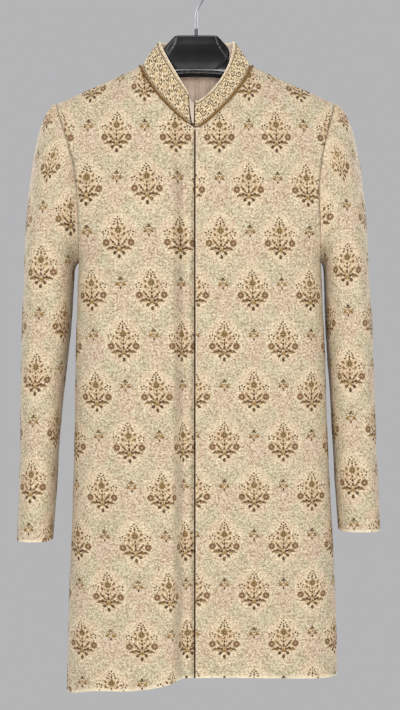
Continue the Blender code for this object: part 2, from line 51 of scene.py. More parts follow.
# %% [markdown]
# ## Camera
# The coat is seen from straight ahead, from far enough away that the sleeves aren't drawn
# larger than the body. The lens follows from the distance and from how tall a stretch of the
# coat's front has to fill the frame.

# %% Camera
FRONT_PLANE = -0.080
CAMERA_DISTANCE = 2.400
VIEW_HEIGHT = 1.136
VIEW_CENTRE = (0.0064, -0.625)
SENSOR_WIDTH = 36.0

camera_data = bpy.data.cameras.new("camera")
camera_data.sensor_width = SENSOR_WIDTH
camera_data.lens = SENSOR_WIDTH * CAMERA_DISTANCE / VIEW_HEIGHT
camera = bpy.data.objects.new("camera", camera_data)
camera.location = (VIEW_CENTRE[0], FRONT_PLANE - CAMERA_DISTANCE, VIEW_CENTRE[1])
camera.rotation_euler = (math.radians(90), 0, 0)
bpy.context.collection.objects.link(camera)
bpy.context.scene.camera = camera
print("lens", round(camera_data.lens, 1), "mm")

# %% [markdown]
# ## Smooth tables
# A cutter gives a coat's measures at a few heights. `through` turns such a table into a smooth
# curve, and `ease` is the soft step that folds and fades are made from. A curve object could
# do the first, but a function works on whole arrays at once.


# %% Curve helpers
def through(at, places, values):
    """Cubic pieces through the table's points. Each point's slope comes from its
    neighbours, so the curve has no corners."""
    places, values = np.asarray(places, float), np.asarray(values, float)
    at = np.clip(at, places[0], places[-1])
    slopes = np.gradient(values, places)
    k = np.clip(np.searchsorted(places, at) - 1, 0, len(places) - 2)
    span = places[k + 1] - places[k]
    t = (at - places[k]) / span
    start = (2 * t**3 - 3 * t**2 + 1) * values[k] + (t**3 - 2 * t**2 + t) * span * slopes[k]
    end = (3 * t**2 - 2 * t**3) * values[k + 1] + (t**3 - t**2) * span * slopes[k + 1]
    return start + end


def ease(value, start, end):
    """0 before start, 1 past end, and 3t^2 - 2t^3 between them."""
    t = np.clip((np.asarray(value, float) - start) / (end - start), 0.0, 1.0)
    return t * t * (3.0 - 2.0 * t)


def unit(vectors):
    """Each vector divided by its length."""
    return vectors / np.maximum(np.linalg.norm(vectors, axis=-1, keepdims=True), 1e-12)


# %% [markdown]
# ## The body's sections
# Seen from above, the coat's body is a flattened oval: |x/w|^4 + |y/d|^4 = 1. The half width w
# and half depth d change with the height, and the cloth falls away from the shoulder seam.
# It could be sculpted, but with the CAD's own rules in finer steps the fine cloth lies in the
# CAD's walls. Only the neck seam sags a little more here.

# %% Body sections
CLOTH_WALL = 0.0020
# Gaps at the side seams, at the armholes, and added at the shoulder seams
SEAM_GAP, ARMHOLE_GAP, RIDGE_GAP = 0.0004, 0.00012, 0.0002
NECK_HEIGHT, SHOULDER_HEIGHT = -0.148, -0.211
THROAT_HEIGHT, UNDERARM_HEIGHT = -0.257, -0.471
NAPE_DROP = 0.004
# The part of the V's rise that is straight is rounded at its foot, and the bow is the rest
V_ROUNDING, NECK_BOW = 0.08, 0.38
NECK_HALF_WIDTH, SHOULDER_HALF_WIDTH = 0.0895, 0.228
ARMHOLE_ROUNDING, ARMHOLE_REACH = 0.060, 0.74
BODY_POWER = 4.0

# Height, half width on the wearer's right and left, depth in front and behind
BODY_ROWS = np.array((
    (-1.180, 0.2100, 0.2310, 0.088, 0.086),
    (-1.010, 0.2060, 0.2270, 0.087, 0.084),
    (-0.880, 0.2010, 0.2205, 0.084, 0.080),
    (-0.750, 0.1975, 0.2140, 0.081, 0.076),
    (-0.617, 0.1955, 0.2100, 0.080, 0.074),
    (-0.534, 0.1930, 0.2060, 0.081, 0.075),
    (-0.471, 0.1905, 0.2035, 0.082, 0.077),
    (-0.420, 0.1890, 0.2010, 0.082, 0.078),
    (-0.370, 0.1905, 0.1985, 0.082, 0.078),
    (-0.325, 0.1955, 0.2010, 0.081, 0.077),
    (-0.270, 0.2115, 0.2115, 0.080, 0.076),
    (-0.211, 0.2290, 0.2270, 0.080, 0.075),
    (-0.148, 0.2290, 0.2270, 0.080, 0.075),
))
# How far below the shoulder the cloth reaches its full depth, and how square it turns
ROOF = {-1: (0.24, 1.35, 2.00), 1: (0.17, 3.00, 2.00)}


def body_measure(height, column):
    """The body's measure at a height, from one column of the table."""
    return through(height, BODY_ROWS[:, 0], BODY_ROWS[:, column])


def seam_x(height, side):
    """Distance of the side seam from the centre line."""
    return body_measure(height, 1 if side < 0 else 2)


def armhole_cut(height):
    """Share of the depth where the armhole's edge lies: a quarter ellipse, opening upwards."""
    rise = np.clip((height - UNDERARM_HEIGHT) / ARMHOLE_ROUNDING, 0.0, 1.0)
    return ARMHOLE_REACH * np.sqrt(1.0 - (1.0 - rise) ** 2)


def half_sizes(height, side, face):
    """Half width and half depth of the oval. The armhole cuts the oval, so above the
    underarm the oval is wider than the panel."""
    depth = body_measure(height, 3 if face < 0 else 4)
    uncut = (1.0 - armhole_cut(height) ** BODY_POWER) ** (1.0 / BODY_POWER)
    return seam_x(height, side) / uncut, depth


def shoulder_line(x):
    """Height of the shoulder seam, straight from the neck point to the shoulder's tip."""
    return np.interp(np.abs(x), (NECK_HALF_WIDTH, SHOULDER_HALF_WIDTH),
                     (NECK_HEIGHT, SHOULDER_HEIGHT))


def roof(x, height, face):
    """Share of the depth below the shoulder seam: (1 - (1 - down)^p)^(1/p)."""
    reach, neck_power, tip_power = ROOF[face]
    power = neck_power + (tip_power - neck_power) * (x / SHOULDER_HALF_WIDTH) ** 2
    down = np.clip((shoulder_line(x) - height) / reach, 0.0, 1.0)
    return (1.0 - (1.0 - down) ** power) ** (1.0 / power)


print("body depth at the hem", round(float(body_measure(-1.1, 3) + body_measure(-1.1, 4)), 3), "m")

# %% [markdown]
# ## Folds and creases
# Hanging cloth is never flat. The one large fold stands beside the closing edge and belongs to
# the form. The creases are soft troughs and ridges: each runs along a line, has a round bell
# for its section and fades out at both ends. A cloth simulation would put them anywhere; a
# short table puts them where this coat has them, and similar ones where it isn't seen.

# %% Fold, underlap and creases
CLOSING_X = -0.0005
UNDERLAP_X = 0.025
UNDERLAP_STEP = 0.0042
UNDERLAP_RAMP = (-0.012, -0.003)
FOLD_DEPTH = 0.022
FOLD_X = (-0.019, -0.040)
FOLD_HEIGHTS = (-0.265, -0.380)
CREASE_FADE = 0.2

# Each crease: start x and z, end x and z, half width, depth; below 0 is a trough
CREASES = {
    "front_left": (
        (0.058, -0.330, 0.072, -0.640, 0.016, -0.0022),
        (0.098, -0.560, 0.088, -1.020, 0.022, 0.0030),
        (0.150, -0.700, 0.158, -1.130, 0.020, -0.0034),
        (0.036, -0.780, 0.044, -1.135, 0.014, -0.0024),
        (0.190, -0.430, 0.120, -0.520, 0.011, -0.0026),
        (0.192, -0.480, 0.140, -0.600, 0.013, 0.0020),
        (0.165, -0.300, 0.120, -0.370, 0.014, -0.0020),
    ),
    "front_right": (
        (-0.064, -0.420, -0.060, -0.980, 0.013, -0.0030),
        (-0.105, -0.560, -0.100, -1.130, 0.022, 0.0032),
        (-0.146, -0.640, -0.150, -1.140, 0.016, -0.0034),
        (-0.084, -0.860, -0.080, -1.140, 0.010, -0.0020),
        (-0.180, -0.430, -0.118, -0.540, 0.011, -0.0028),
        (-0.184, -0.490, -0.138, -0.640, 0.013, 0.0022),
        (-0.168, -0.300, -0.110, -0.380, 0.014, -0.0022),
    ),
    "back": (
        (0.030, -0.330, 0.024, -0.700, 0.018, -0.0026),
        (-0.048, -0.400, -0.062, -0.900, 0.020, 0.0034),
        (-0.110, -0.600, -0.124, -1.120, 0.022, -0.0044),
        (0.085, -0.620, 0.098, -1.125, 0.024, 0.0040),
        (0.150, -0.700, 0.158, -1.120, 0.018, -0.0036),
        (0.006, -0.800, -0.010, -1.130, 0.020, -0.0034),
        (0.186, -0.440, 0.110, -0.540, 0.013, -0.0032),
        (-0.180, -0.430, -0.104, -0.560, 0.014, -0.0034),
        (-0.120, -0.240, 0.120, -0.236, 0.014, -0.0016),
    ),
}


def soft_creases(across, height, rows):
    """Sum of bells: depth * exp(-(distance from the crease's line / half width)^2), eased
    in over the first and last fifth of the line."""
    total = np.zeros(np.broadcast(across, height).shape)
    for x0, z0, x1, z1, half_width, depth in rows:
        run = np.array((x1 - x0, z1 - z0))
        length = np.hypot(*run)
        along = ((across - x0) * run[0] + (height - z0) * run[1]) / length**2
        aside = ((across - x0) * run[1] - (height - z0) * run[0]) / length
        fade = ease(along, 0.0, CREASE_FADE) * ease(1.0 - along, 0.0, CREASE_FADE)
        total = total + depth * fade * np.exp(-((aside / half_width) ** 2))
    return total


def body_point(angle, height, side, face, panel=None):
    """A point of the body: the oval's polar radius (|cos/d|^4 + |sin/w|^4)^(-1/4), pressed
    in by the roof. With a panel's name, its fold and creases are added."""
    half_width, half_depth = half_sizes(height, side, face)
    ahead, across = np.abs(np.cos(angle)) / half_depth, np.abs(np.sin(angle)) / half_width
    radius = (ahead**BODY_POWER + across**BODY_POWER) ** (-1.0 / BODY_POWER)
    x = side * radius * np.sin(angle)
    share = radius * np.cos(angle) / half_depth
    cover = roof(x, height, face)
    depth = share * half_depth * cover + RIDGE_GAP * (1.0 - cover)
    if panel:
        depth = depth + soft_creases(x, height, CREASES[panel]) * share * cover
    if panel == "front_right":
        fold = ease(x, *FOLD_X) * ease(height, *FOLD_HEIGHTS)
        depth = depth + FOLD_DEPTH * fold * share - UNDERLAP_STEP * ease(x, *UNDERLAP_RAMP)
    y = face * (SEAM_GAP / 2 + depth)
    return np.stack(np.broadcast_arrays(x, y, height), axis=-1)


def angle_at(x, height, side, face):
    """The angle at which the oval reaches a distance from the centre line."""
    half_width, half_depth = half_sizes(height, side, face)
    rest = np.clip(1.0 - (np.abs(x) / half_width) ** BODY_POWER, 0.0, 1.0)
    return np.arctan2(x, half_depth * rest ** (1.0 / BODY_POWER))


print("creases placed:", {name: len(rows) for name, rows in CREASES.items()})

# %% [markdown]
# ## Panels
# A front is cut from the closing edge to the side seam, and from the hem to the neck, the
# shoulder and the armhole. Its grid has a row for each height, level at the bottom and bent
# to the neckline at the top. The hem steps up beside the closing edge. A flat pattern could
# be draped instead, but a grid on the finished form keeps every seam in its place.

# %% Panel grids
HEM_X = {-1: (-0.212, -0.170, -0.095, -0.053, -0.026, 0.000, 0.120, 0.233),
         1: (-0.212, 0.000, 0.233)}
HEM_HEIGHTS = {-1: (-1.170, -1.160, -1.156, -1.1495, -1.1415, -1.1405, -1.1410, -1.1450),
               1: (-1.170, -1.157, -1.1450)}
NECK_SHARE = 0.42
LOW_ROWS, HIGH_ROWS = 96, 52
FRONT_COLUMNS, BACK_COLUMNS = 58, 46
# Where the columns' angles are set below the underarm, and where the hem's places are read
SKIRT_HEIGHT, HEM_HEIGHT = -1.0, -1.16
# Shares at which a turned edge gets its own rows and columns
TURNED_ROWS, TURNED_COLUMNS = (0.0015, 0.0035), (0.0050, 0.0110)
STEP_COLUMNS, FOLD_COLUMNS, FRONT_DEPTH = 5, 13, 0.085


def v_rise(share, bow):
    """Rise of the collar's V: a straight part, rounded at its foot, and as much of a quarter
    ellipse, 1 - (1 - share^2)^(1/2), as the bow says."""
    straight = np.hypot(share, V_ROUNDING) - V_ROUNDING
    straight = straight / (math.hypot(1, V_ROUNDING) - V_ROUNDING)
    return (1.0 - bow) * straight + bow * (1.0 - np.sqrt(1.0 - np.clip(share, -1, 1) ** 2))


def neckline(turn, face):
    """x and height of the neck seam; turn is 0 at the centre, a quarter at the shoulder."""
    x = NECK_HALF_WIDTH * np.sin(turn)
    if face > 0:
        return x, NECK_HEIGHT - NAPE_DROP * np.cos(turn)
    return x, THROAT_HEIGHT + (NECK_HEIGHT - THROAT_HEIGHT) * v_rise(np.sin(turn), NECK_BOW)


def panel_top(shares, start, face, side):
    """Angles and heights of the top edge: the neck seam, then the shoulder seam."""
    turn = start + (math.pi / 2 - start) * np.clip(shares / NECK_SHARE, 0.0, 1.0)
    x, height = neckline(np.maximum(turn, 0.0), face)
    x = np.where(turn < 0.0, NECK_HALF_WIDTH * np.sin(turn), x)
    along = np.clip((shares - NECK_SHARE) / (1.0 - NECK_SHARE), 0.0, 1.0)
    tip = seam_x(SHOULDER_HEIGHT, side)
    x = np.where(along > 0.0, NECK_HALF_WIDTH + (tip - NECK_HALF_WIDTH) * along, x)
    height = np.where(along > 0.0, shoulder_line(x), height)
    return angle_at(x, height, side, face), height


def cosine_steps(rows):
    """Shares from 0 to 1, closer together at both ends."""
    return 0.5 - 0.5 * np.cos(np.linspace(0.0, math.pi, rows))


def hem_steps(rows):
    """Even shares from 0 up to 1, with a narrow row for the turned edge."""
    return np.union1d(np.linspace(0.0, 1.0, rows, endpoint=False), TURNED_ROWS)


def panel_grid(side, face, start_x, shares, panel=None):
    """Points of one panel, hem to top, centre to side. Angles run evenly from the centre
    edge to the side seam below the underarm, and bend to the top edge's angles above it."""
    side_angle = math.pi / 2
    hem_angle = angle_at(np.full(1, start_x), SKIRT_HEIGHT, side, face)[0]
    low_angles = hem_angle + (side_angle - hem_angle) * shares
    hem_x = body_point(low_angles, np.full_like(shares, HEM_HEIGHT), side, face)[:, 0]
    hem = through(hem_x, HEM_X[face], HEM_HEIGHTS[face])
    grid = []
    for t in hem_steps(LOW_ROWS):
        height = hem + (UNDERARM_HEIGHT - hem) * t
        start = angle_at(np.full(1, start_x), height[0], side, face)[0]
        angles = start + (side_angle - start) * shares
        grid.append(body_point(angles, height, side, face, panel))
    top_angles, top_heights = panel_top(shares, math.asin(start_x / NECK_HALF_WIDTH), face, side)
    for t in cosine_steps(HIGH_ROWS):
        height = UNDERARM_HEIGHT + (top_heights - UNDERARM_HEIGHT) * t
        depth = half_sizes(height[-1], side, face)[1]
        edge = math.atan2(seam_x(height[-1], side), armhole_cut(height[-1]) * depth)
        start = angle_at(np.full(1, start_x), height[0], side, face)[0]
        low_shape = start + (edge - start) * shares
        high_shape = top_angles + (edge - top_angles[-1]) * shares
        angles = low_shape + (high_shape - low_shape) * t
        grid.append(body_point(angles, height, side, face, panel))
    return np.array(grid)


def front_shares(side):
    """Even shares across a front, with narrow columns at the turned closing edge and, on
    the wearer's right, over the underlap's step and the fold."""
    even = np.linspace(0.0, 1.0, FRONT_COLUMNS)
    if side > 0:
        return np.union1d(even, TURNED_COLUMNS)
    steps = np.concatenate((np.linspace(*UNDERLAP_RAMP, STEP_COLUMNS),
                            np.linspace(*FOLD_X, FOLD_COLUMNS)))
    start, angles = math.atan2(-UNDERLAP_X, FRONT_DEPTH), np.arctan2(-steps, FRONT_DEPTH)
    return np.union1d(even, (angles - start) / (math.pi / 2 - start))


def front_grid(side, creased):
    """A front's grid with its columns running towards +x, so that its faces look forward."""
    name = "front_right" if side < 0 else "front_left"
    start = -UNDERLAP_X if side < 0 else CLOSING_X
    grid = panel_grid(side, -1, start, front_shares(side), name if creased else None)
    return grid[:, ::-1] if side < 0 else grid


def back_grid(creased):
    """Both halves of the back as one grid, its columns running towards -x."""
    shares = np.linspace(0.0, 1.0, BACK_COLUMNS)
    name = "back" if creased else None
    right, left = (panel_grid(side, 1, 0.0, shares, name) for side in (-1, 1))
    return np.concatenate((left[:, :0:-1], right), axis=1)


print("front grid", front_grid(1, True).shape, "back grid", back_grid(True).shape)

# %% [markdown]
# ## Sleeves
# A sleeve is a tube whose section narrows towards the cuff. Over its cap each line of the tube
# runs on a quarter of an ellipse from the armhole's edge, outwards and then down. A cap made
# apart would show a kink where it joins; one grid from cuff to armhole has none.

# %% Sleeve grids
# Height, centre and half width on the right, the same on the left, forward shift, half depth
SLEEVE_ROWS = np.array((
    (-0.930, 0.2634, 0.0270, 0.2680, 0.0320, -0.022, 0.050),
    (-0.848, 0.2599, 0.0289, 0.2643, 0.0337, -0.015, 0.052),
    (-0.782, 0.2574, 0.0296, 0.2610, 0.0337, -0.010, 0.055),
    (-0.683, 0.2533, 0.0338, 0.2573, 0.0350, -0.004, 0.058),
    (-0.617, 0.2490, 0.0368, 0.2540, 0.0362, -0.001, 0.062),
    (-0.550, 0.2452, 0.0388, 0.2508, 0.0360, -0.001, 0.065),
    (-0.495, 0.2420, 0.0392, 0.2475, 0.0346, -0.002, 0.066),
))
SLEEVE_POWER = 2.7
SLEEVE_TOP = -0.495
CUFF_HEIGHT = {-1: -0.926, 1: -0.910}
CAP_ROWS, ARM_ROWS, SLEEVE_COLUMNS, SECTION_POINTS = 34, 72, 44, 121
# Share of the rows above which a sleeve's creases have faded out, to 1 at the armhole
CREASE_CLEAR = 0.86

# Creases on a sleeve: across is the distance round from its front, towards the outside
SLEEVE_CREASES = {
    -1: ((-0.030, -0.330, -0.010, -0.450, 0.012, -0.0030),
         (0.010, -0.400, -0.030, -0.520, 0.013, 0.0026),
         (0.046, -0.540, -0.040, -0.600, 0.011, -0.0026),
         (0.040, -0.600, -0.036, -0.672, 0.012, 0.0022),
         (-0.048, -0.640, 0.030, -0.700, 0.010, -0.0022),
         (0.014, -0.720, 0.020, -0.900, 0.012, -0.0020),
         (0.110, -0.560, 0.190, -0.640, 0.016, -0.0034),
         (0.100, -0.680, 0.180, -0.740, 0.014, 0.0030),
         (0.130, -0.360, 0.150, -0.500, 0.016, -0.0030)),
    1: ((0.022, -0.310, -0.020, -0.420, 0.012, -0.0038),
        (-0.018, -0.350, -0.036, -0.470, 0.010, 0.0024),
        (0.030, -0.480, -0.044, -0.560, 0.012, -0.0026),
        (0.048, -0.580, -0.040, -0.646, 0.011, 0.0022),
        (-0.044, -0.650, 0.034, -0.706, 0.010, -0.0022),
        (0.000, -0.740, 0.006, -0.890, 0.013, -0.0018),
        (0.105, -0.540, 0.185, -0.610, 0.016, -0.0034),
        (0.110, -0.660, 0.190, -0.730, 0.014, 0.0030),
        (0.125, -0.350, 0.150, -0.490, 0.016, -0.0030)),
}


def armhole_edge(side, face):
    """The armhole's edge on one face, from the shoulder's tip to the underarm, moved out
    past the panel's wall."""
    steps = cosine_steps(HIGH_ROWS)
    height = SHOULDER_HEIGHT + (UNDERARM_HEIGHT - SHOULDER_HEIGHT) * steps
    depth = armhole_cut(height) * half_sizes(height, side, face)[1]
    points = body_point(np.arctan2(seam_x(height, side), depth), height, side, face)
    points[:, 0] += side * (ARMHOLE_GAP + CLOTH_WALL / 2)
    points[(0, -1), 1] = 0.0
    return points


def run_length(points):
    """Distance along a path to each of its points."""
    steps = np.linalg.norm(np.diff(points, axis=0), axis=1)
    return np.concatenate(([0.0], np.cumsum(steps)))


def spaced(points, shares):
    """Points at given shares of a path's length."""
    run = run_length(points)
    return np.column_stack([np.interp(shares * run[-1], run, axis) for axis in points.T])


def sleeve_half(height, side, face):
    """Half a section on one face, from the outer side to the inner one: polar radius
    (|cos/a|^p + |sin/b|^p)^(-1/p)."""
    centre, half_x, forward, half_y = (
        float(through(height, SLEEVE_ROWS[:, 0], SLEEVE_ROWS[:, column]))
        for column in ((1, 2, 5, 6) if side < 0 else (3, 4, 5, 6)))
    angle = np.linspace(0.0, math.pi, SECTION_POINTS)
    bulk = (np.abs(np.cos(angle)) / half_x) ** SLEEVE_POWER
    radius = (bulk + (np.abs(np.sin(angle)) / half_y) ** SLEEVE_POWER) ** (-1.0 / SLEEVE_POWER)
    x = side * (centre + radius * np.cos(angle))
    return np.column_stack((x, forward + face * radius * np.sin(angle), np.full_like(x, height)))


def sleeve_grid(side):
    """Rows from the cuff up to the armhole. The columns start and end on the inner line
    and run towards +x on the front, so that the faces look outwards."""
    shares = np.linspace(0.0, 1.0, SLEEVE_COLUMNS)
    edges = [spaced(armhole_edge(side, face), shares) for face in (-1, 1)]

    def loop(front, back):
        """Two half sections as one closed section."""
        if side > 0:
            return np.vstack((front[::-1], back[1:]))
        return np.vstack((back[::-1], front[1:]))

    def ring(height):
        """The sleeve's section at a height."""
        return loop(*(spaced(sleeve_half(height, side, face), shares) for face in (-1, 1)))

    edge, top = loop(*edges), ring(SLEEVE_TOP)
    rows = [ring(z) for z in CUFF_HEIGHT[side] + (SLEEVE_TOP - CUFF_HEIGHT[side])
            * hem_steps(ARM_ROWS)]
    for turn in np.linspace(math.pi / 2, 0.0, CAP_ROWS):
        out, down = math.sin(turn), 1.0 - math.cos(turn)
        rows.append(edge + (top - edge) * np.array((out, out, down)))
    return np.array(rows)


print("sleeve grid", sleeve_grid(1).shape)

# %% [markdown]
# ## Laying the cloth flat
# The woven pattern belongs to the flat cloth, so every point of a panel needs its place on the
# flat: U across and V up, in metres. Below the underarm U is the length round the section. In
# the upper part each column is rolled out upwards: a step's share along the level direction
# adds to U, and its share up the slope adds to V. Blender's own unwrapping would fit each
# piece to a square, but here the lengths have to stay true.


# %% Unrolling
def grid_normals(grid):
    """Normals of a grid whose columns run to the right and rows run up, seen from outside."""
    return unit(np.cross(np.gradient(grid, axis=1), np.gradient(grid, axis=0)))


def unroll(grid, start_row, zero_column, zero_u=0.0):
    """U and V of each point. Up to start_row: lengths along the rows. Above it: steps up
    the columns, split into a level part and a part up the slope."""
    normals = grid_normals(grid)
    level = unit(np.cross((0.0, 0.0, 1.0), normals))
    slope = np.cross(normals, level)
    flat = np.zeros(grid.shape[:2] + (2,))
    across = np.diff(grid, axis=1)
    flat[:, 1:, 0] = np.cumsum(np.hypot(across[..., 0], across[..., 1]), axis=1)
    flat[..., 0] += zero_u - flat[:, zero_column, None, 0]
    flat[..., 1] = grid[..., 2]
    rise = np.diff(grid[start_row:], axis=0)
    for axis, way in enumerate((level, slope)):
        middle = unit(way[start_row:-1] + way[start_row + 1:])
        gone = np.cumsum(np.sum(rise * middle, axis=-1), axis=0)
        flat[start_row + 1:, :, axis] = flat[start_row, :, axis] + gone
    return flat


# %% [markdown]
# ## Where the pattern falls
# The brocade repeats as a half drop: bouquets stand in rows, and every other row is shifted by
# half the pitch. Each piece was cut from its own place on the roll. The wearer's right front
# hangs a little off the grain, and a tuck beside the closing edge swallows some of its width
# towards the hem, so its columns lean.

# %% Pattern places
PITCH = 0.0945
ROW_PITCH = 0.0805
PATTERN_ROW = -0.684
SAG = 0.0525
STRETCH, STRETCH_START = 0.136, 0.150
LEFT_START, LEFT_EASE, LEFT_EASE_HEIGHTS = 0.0019, 0.008, (-0.60, -0.35)
LEAN_HEIGHTS = (-1.084, -0.700, -0.263)
LEAN_X = (-0.085, -0.110, -0.131)
RIGHT_STRETCH, RIGHT_START = 0.97, 1.5 * PITCH
TUCK_TOP, TUCK_RATE = -0.440, 0.0385
# For each sleeve: its pattern row, its scale up the sleeve, and how far its column is off
SLEEVE_PATTERN = {-1: (-0.6565, 0.931, 0.005, 0.0), 1: (-0.6508, 0.939, 0.006, 0.020)}


def pattern_height(v):
    """Height on the pattern from height on the cloth. The hung cloth sags a little, and
    is stretched over the shoulders."""
    rise = v - PATTERN_ROW
    return rise - SAG * rise**2 - STRETCH * np.maximum(rise - STRETCH_START, 0.0)**2


def left_pattern(flat):
    """The wearer's left front lies straight on the roll, eased outwards over the chest."""
    u, v = flat[..., 0], flat[..., 1]
    eased = u + LEFT_START + LEFT_EASE * ease(v, *LEFT_EASE_HEIGHTS)
    return np.stack((eased, pattern_height(v)), axis=-1)


def right_pattern(flat, grid):
    """The right front's columns lean, and past the fold the tuck moves them on."""
    u, v = flat[..., 0], flat[..., 1]
    lean = through(v, LEAN_HEIGHTS, LEAN_X)
    tuck = np.maximum(TUCK_RATE * (TUCK_TOP - v), 0.0) * (1.0 - ease(grid[..., 0], *FOLD_X))
    return np.stack((RIGHT_STRETCH * (u - lean) - RIGHT_START + tuck, pattern_height(v)), axis=-1)


def back_pattern(flat):
    """The back is cut on the centre of a column of bouquets."""
    return np.stack((flat[..., 0], pattern_height(flat[..., 1])), axis=-1)


def sleeve_pattern(flat, side):
    """A sleeve has its own row and scale, and its column leans with the height."""
    row, scale, offset, lean = SLEEVE_PATTERN[side]
    u, v = flat[..., 0], flat[..., 1]
    return np.stack((u + offset + lean * (row - v), (v - row) * scale), axis=-1)


# %% Panels with their places on the roll
class Cloth:
    """A piece of cloth: its points, outward normals, place on the flat and on the pattern.
    Its area is the sum of its cells' areas."""

    def __init__(self, name, grid, flat, pattern, closed=False):
        self.name, self.grid, self.flat, self.pattern = name, grid, flat, pattern
        self.normals, self.closed = grid_normals(grid), closed
        self.size = float(np.ptp(flat[..., 0])), float(np.ptp(flat[..., 1]))
        sides = np.diff(grid, axis=1)[:-1], np.diff(grid, axis=0)[:, :-1]
        self.area = float(np.linalg.norm(np.cross(*sides), axis=-1).sum())


def make_front(side):
    """A front. Its flat and its pattern come from the form without fold and creases."""
    plain = front_grid(side, False)
    start = len(hem_steps(LOW_ROWS))
    if side < 0:
        flat = unroll(plain, start, -1, UNDERLAP_X)
        return Cloth("front_right", front_grid(side, True), flat, right_pattern(flat, plain))
    flat = unroll(plain, start, 0, CLOSING_X)
    return Cloth("front_left", front_grid(side, True), flat, left_pattern(flat))


def make_back():
    """The back, laid flat from its centre line."""
    flat = unroll(back_grid(False), len(hem_steps(LOW_ROWS)), BACK_COLUMNS - 1)
    return Cloth("back", back_grid(True), flat, back_pattern(flat))


def make_sleeve(side):
    """A sleeve with its creases, which are measured from the line down its front."""
    plain = sleeve_grid(side)
    start = len(hem_steps(ARM_ROWS))
    flat = unroll(plain, start, int(np.argmin(plain[start, :, 1])))
    creases = soft_creases(side * flat[..., 0], plain[..., 2], SLEEVE_CREASES[side])
    clear = ease(np.linspace(0.0, 1.0, len(plain)), 1.0, CREASE_CLEAR)[:, None]
    moved = plain + grid_normals(plain) * (creases * clear)[..., None]
    moved[:, -1] = moved[:, 0]
    name = "sleeve_right" if side < 0 else "sleeve_left"
    return Cloth(name, moved, flat, sleeve_pattern(flat, side), closed=True)


cloths = {cloth.name: cloth for cloth in
          (make_front(-1), make_front(1), make_back(), make_sleeve(-1), make_sleeve(1))}
for cloth in cloths.values():
    print(cloth.name, "flat size", np.round(cloth.size, 3), "area", round(cloth.area, 3))

# %% [markdown]
# ## From a grid to a mesh
# A grid becomes a mesh with one face for each cell. A closed grid's last column lies on its
# first, so its faces go back to the first column, and only the UV map keeps the two apart.


# %% Mesh makers
def finish_mesh(name, points, faces, materials):
    """A smooth object at the origin from arrays of points and faces."""
    mesh = bpy.data.meshes.new(name)
    mesh.from_pydata(np.asarray(points, float).tolist(), [], np.asarray(faces).tolist())
    mesh.shade_smooth()
    for material in materials:
        mesh.materials.append(material)
    piece = bpy.data.objects.new(name, mesh)
    bpy.context.collection.objects.link(piece)
    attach(piece, "root")
    return piece


def set_uv(piece, name, values):
    """A UV map from one pair of numbers for each face corner."""
    layer = piece.data.uv_layers.new(name=name)
    layer.data.foreach_set("uv", np.asarray(values, np.float32).ravel())


def set_field(piece, name, values):
    """A named number on each point, which a material reads with an Attribute node."""
    field = piece.data.attributes.new(name, "FLOAT", "POINT")
    field.data.foreach_set("value", np.asarray(values, np.float32).ravel())


def grid_piece(name, grid, uv, materials, uv_name="cloth", closed=False):
    """A grid as a mesh: each face joins columns c and c + 1 of rows r and r + 1."""
    rows, columns = grid.shape[:2]
    kept = columns - 1 if closed else columns
    r, c = (index.ravel() for index in np.mgrid[:rows - 1, :columns - 1])
    corners = ((r, c), (r, c + 1), (r + 1, c + 1), (r + 1, c))
    faces = np.column_stack([row * kept + column % kept for row, column in corners])
    piece = finish_mesh(name, grid[:, :kept].reshape(-1, 3), faces, materials)
    set_uv(piece, uv_name, np.stack([uv[row, column] for row, column in corners], axis=1))
    return piece


def add_wall(piece, thickness, inner_material=0):
    """Gives an open surface its thickness, half on each side. The inner face may take
    another material."""
    wall = piece.modifiers.new("wall", "SOLIDIFY")
    wall.thickness, wall.offset = thickness, 0.0
    wall.material_offset = wall.material_offset_rim = inner_material


# %% [markdown]
# ## Finding a place on hung cloth
# A woven flower is drawn on the flat, so each of its points has to be found on the hung cloth.
# A Shrinkwrap modifier could press it on, but would shift and squeeze it. So the panel is
# sampled on an even raster of the pattern: first along its columns, then along its rows. Any
# point then comes from the four raster points round it.


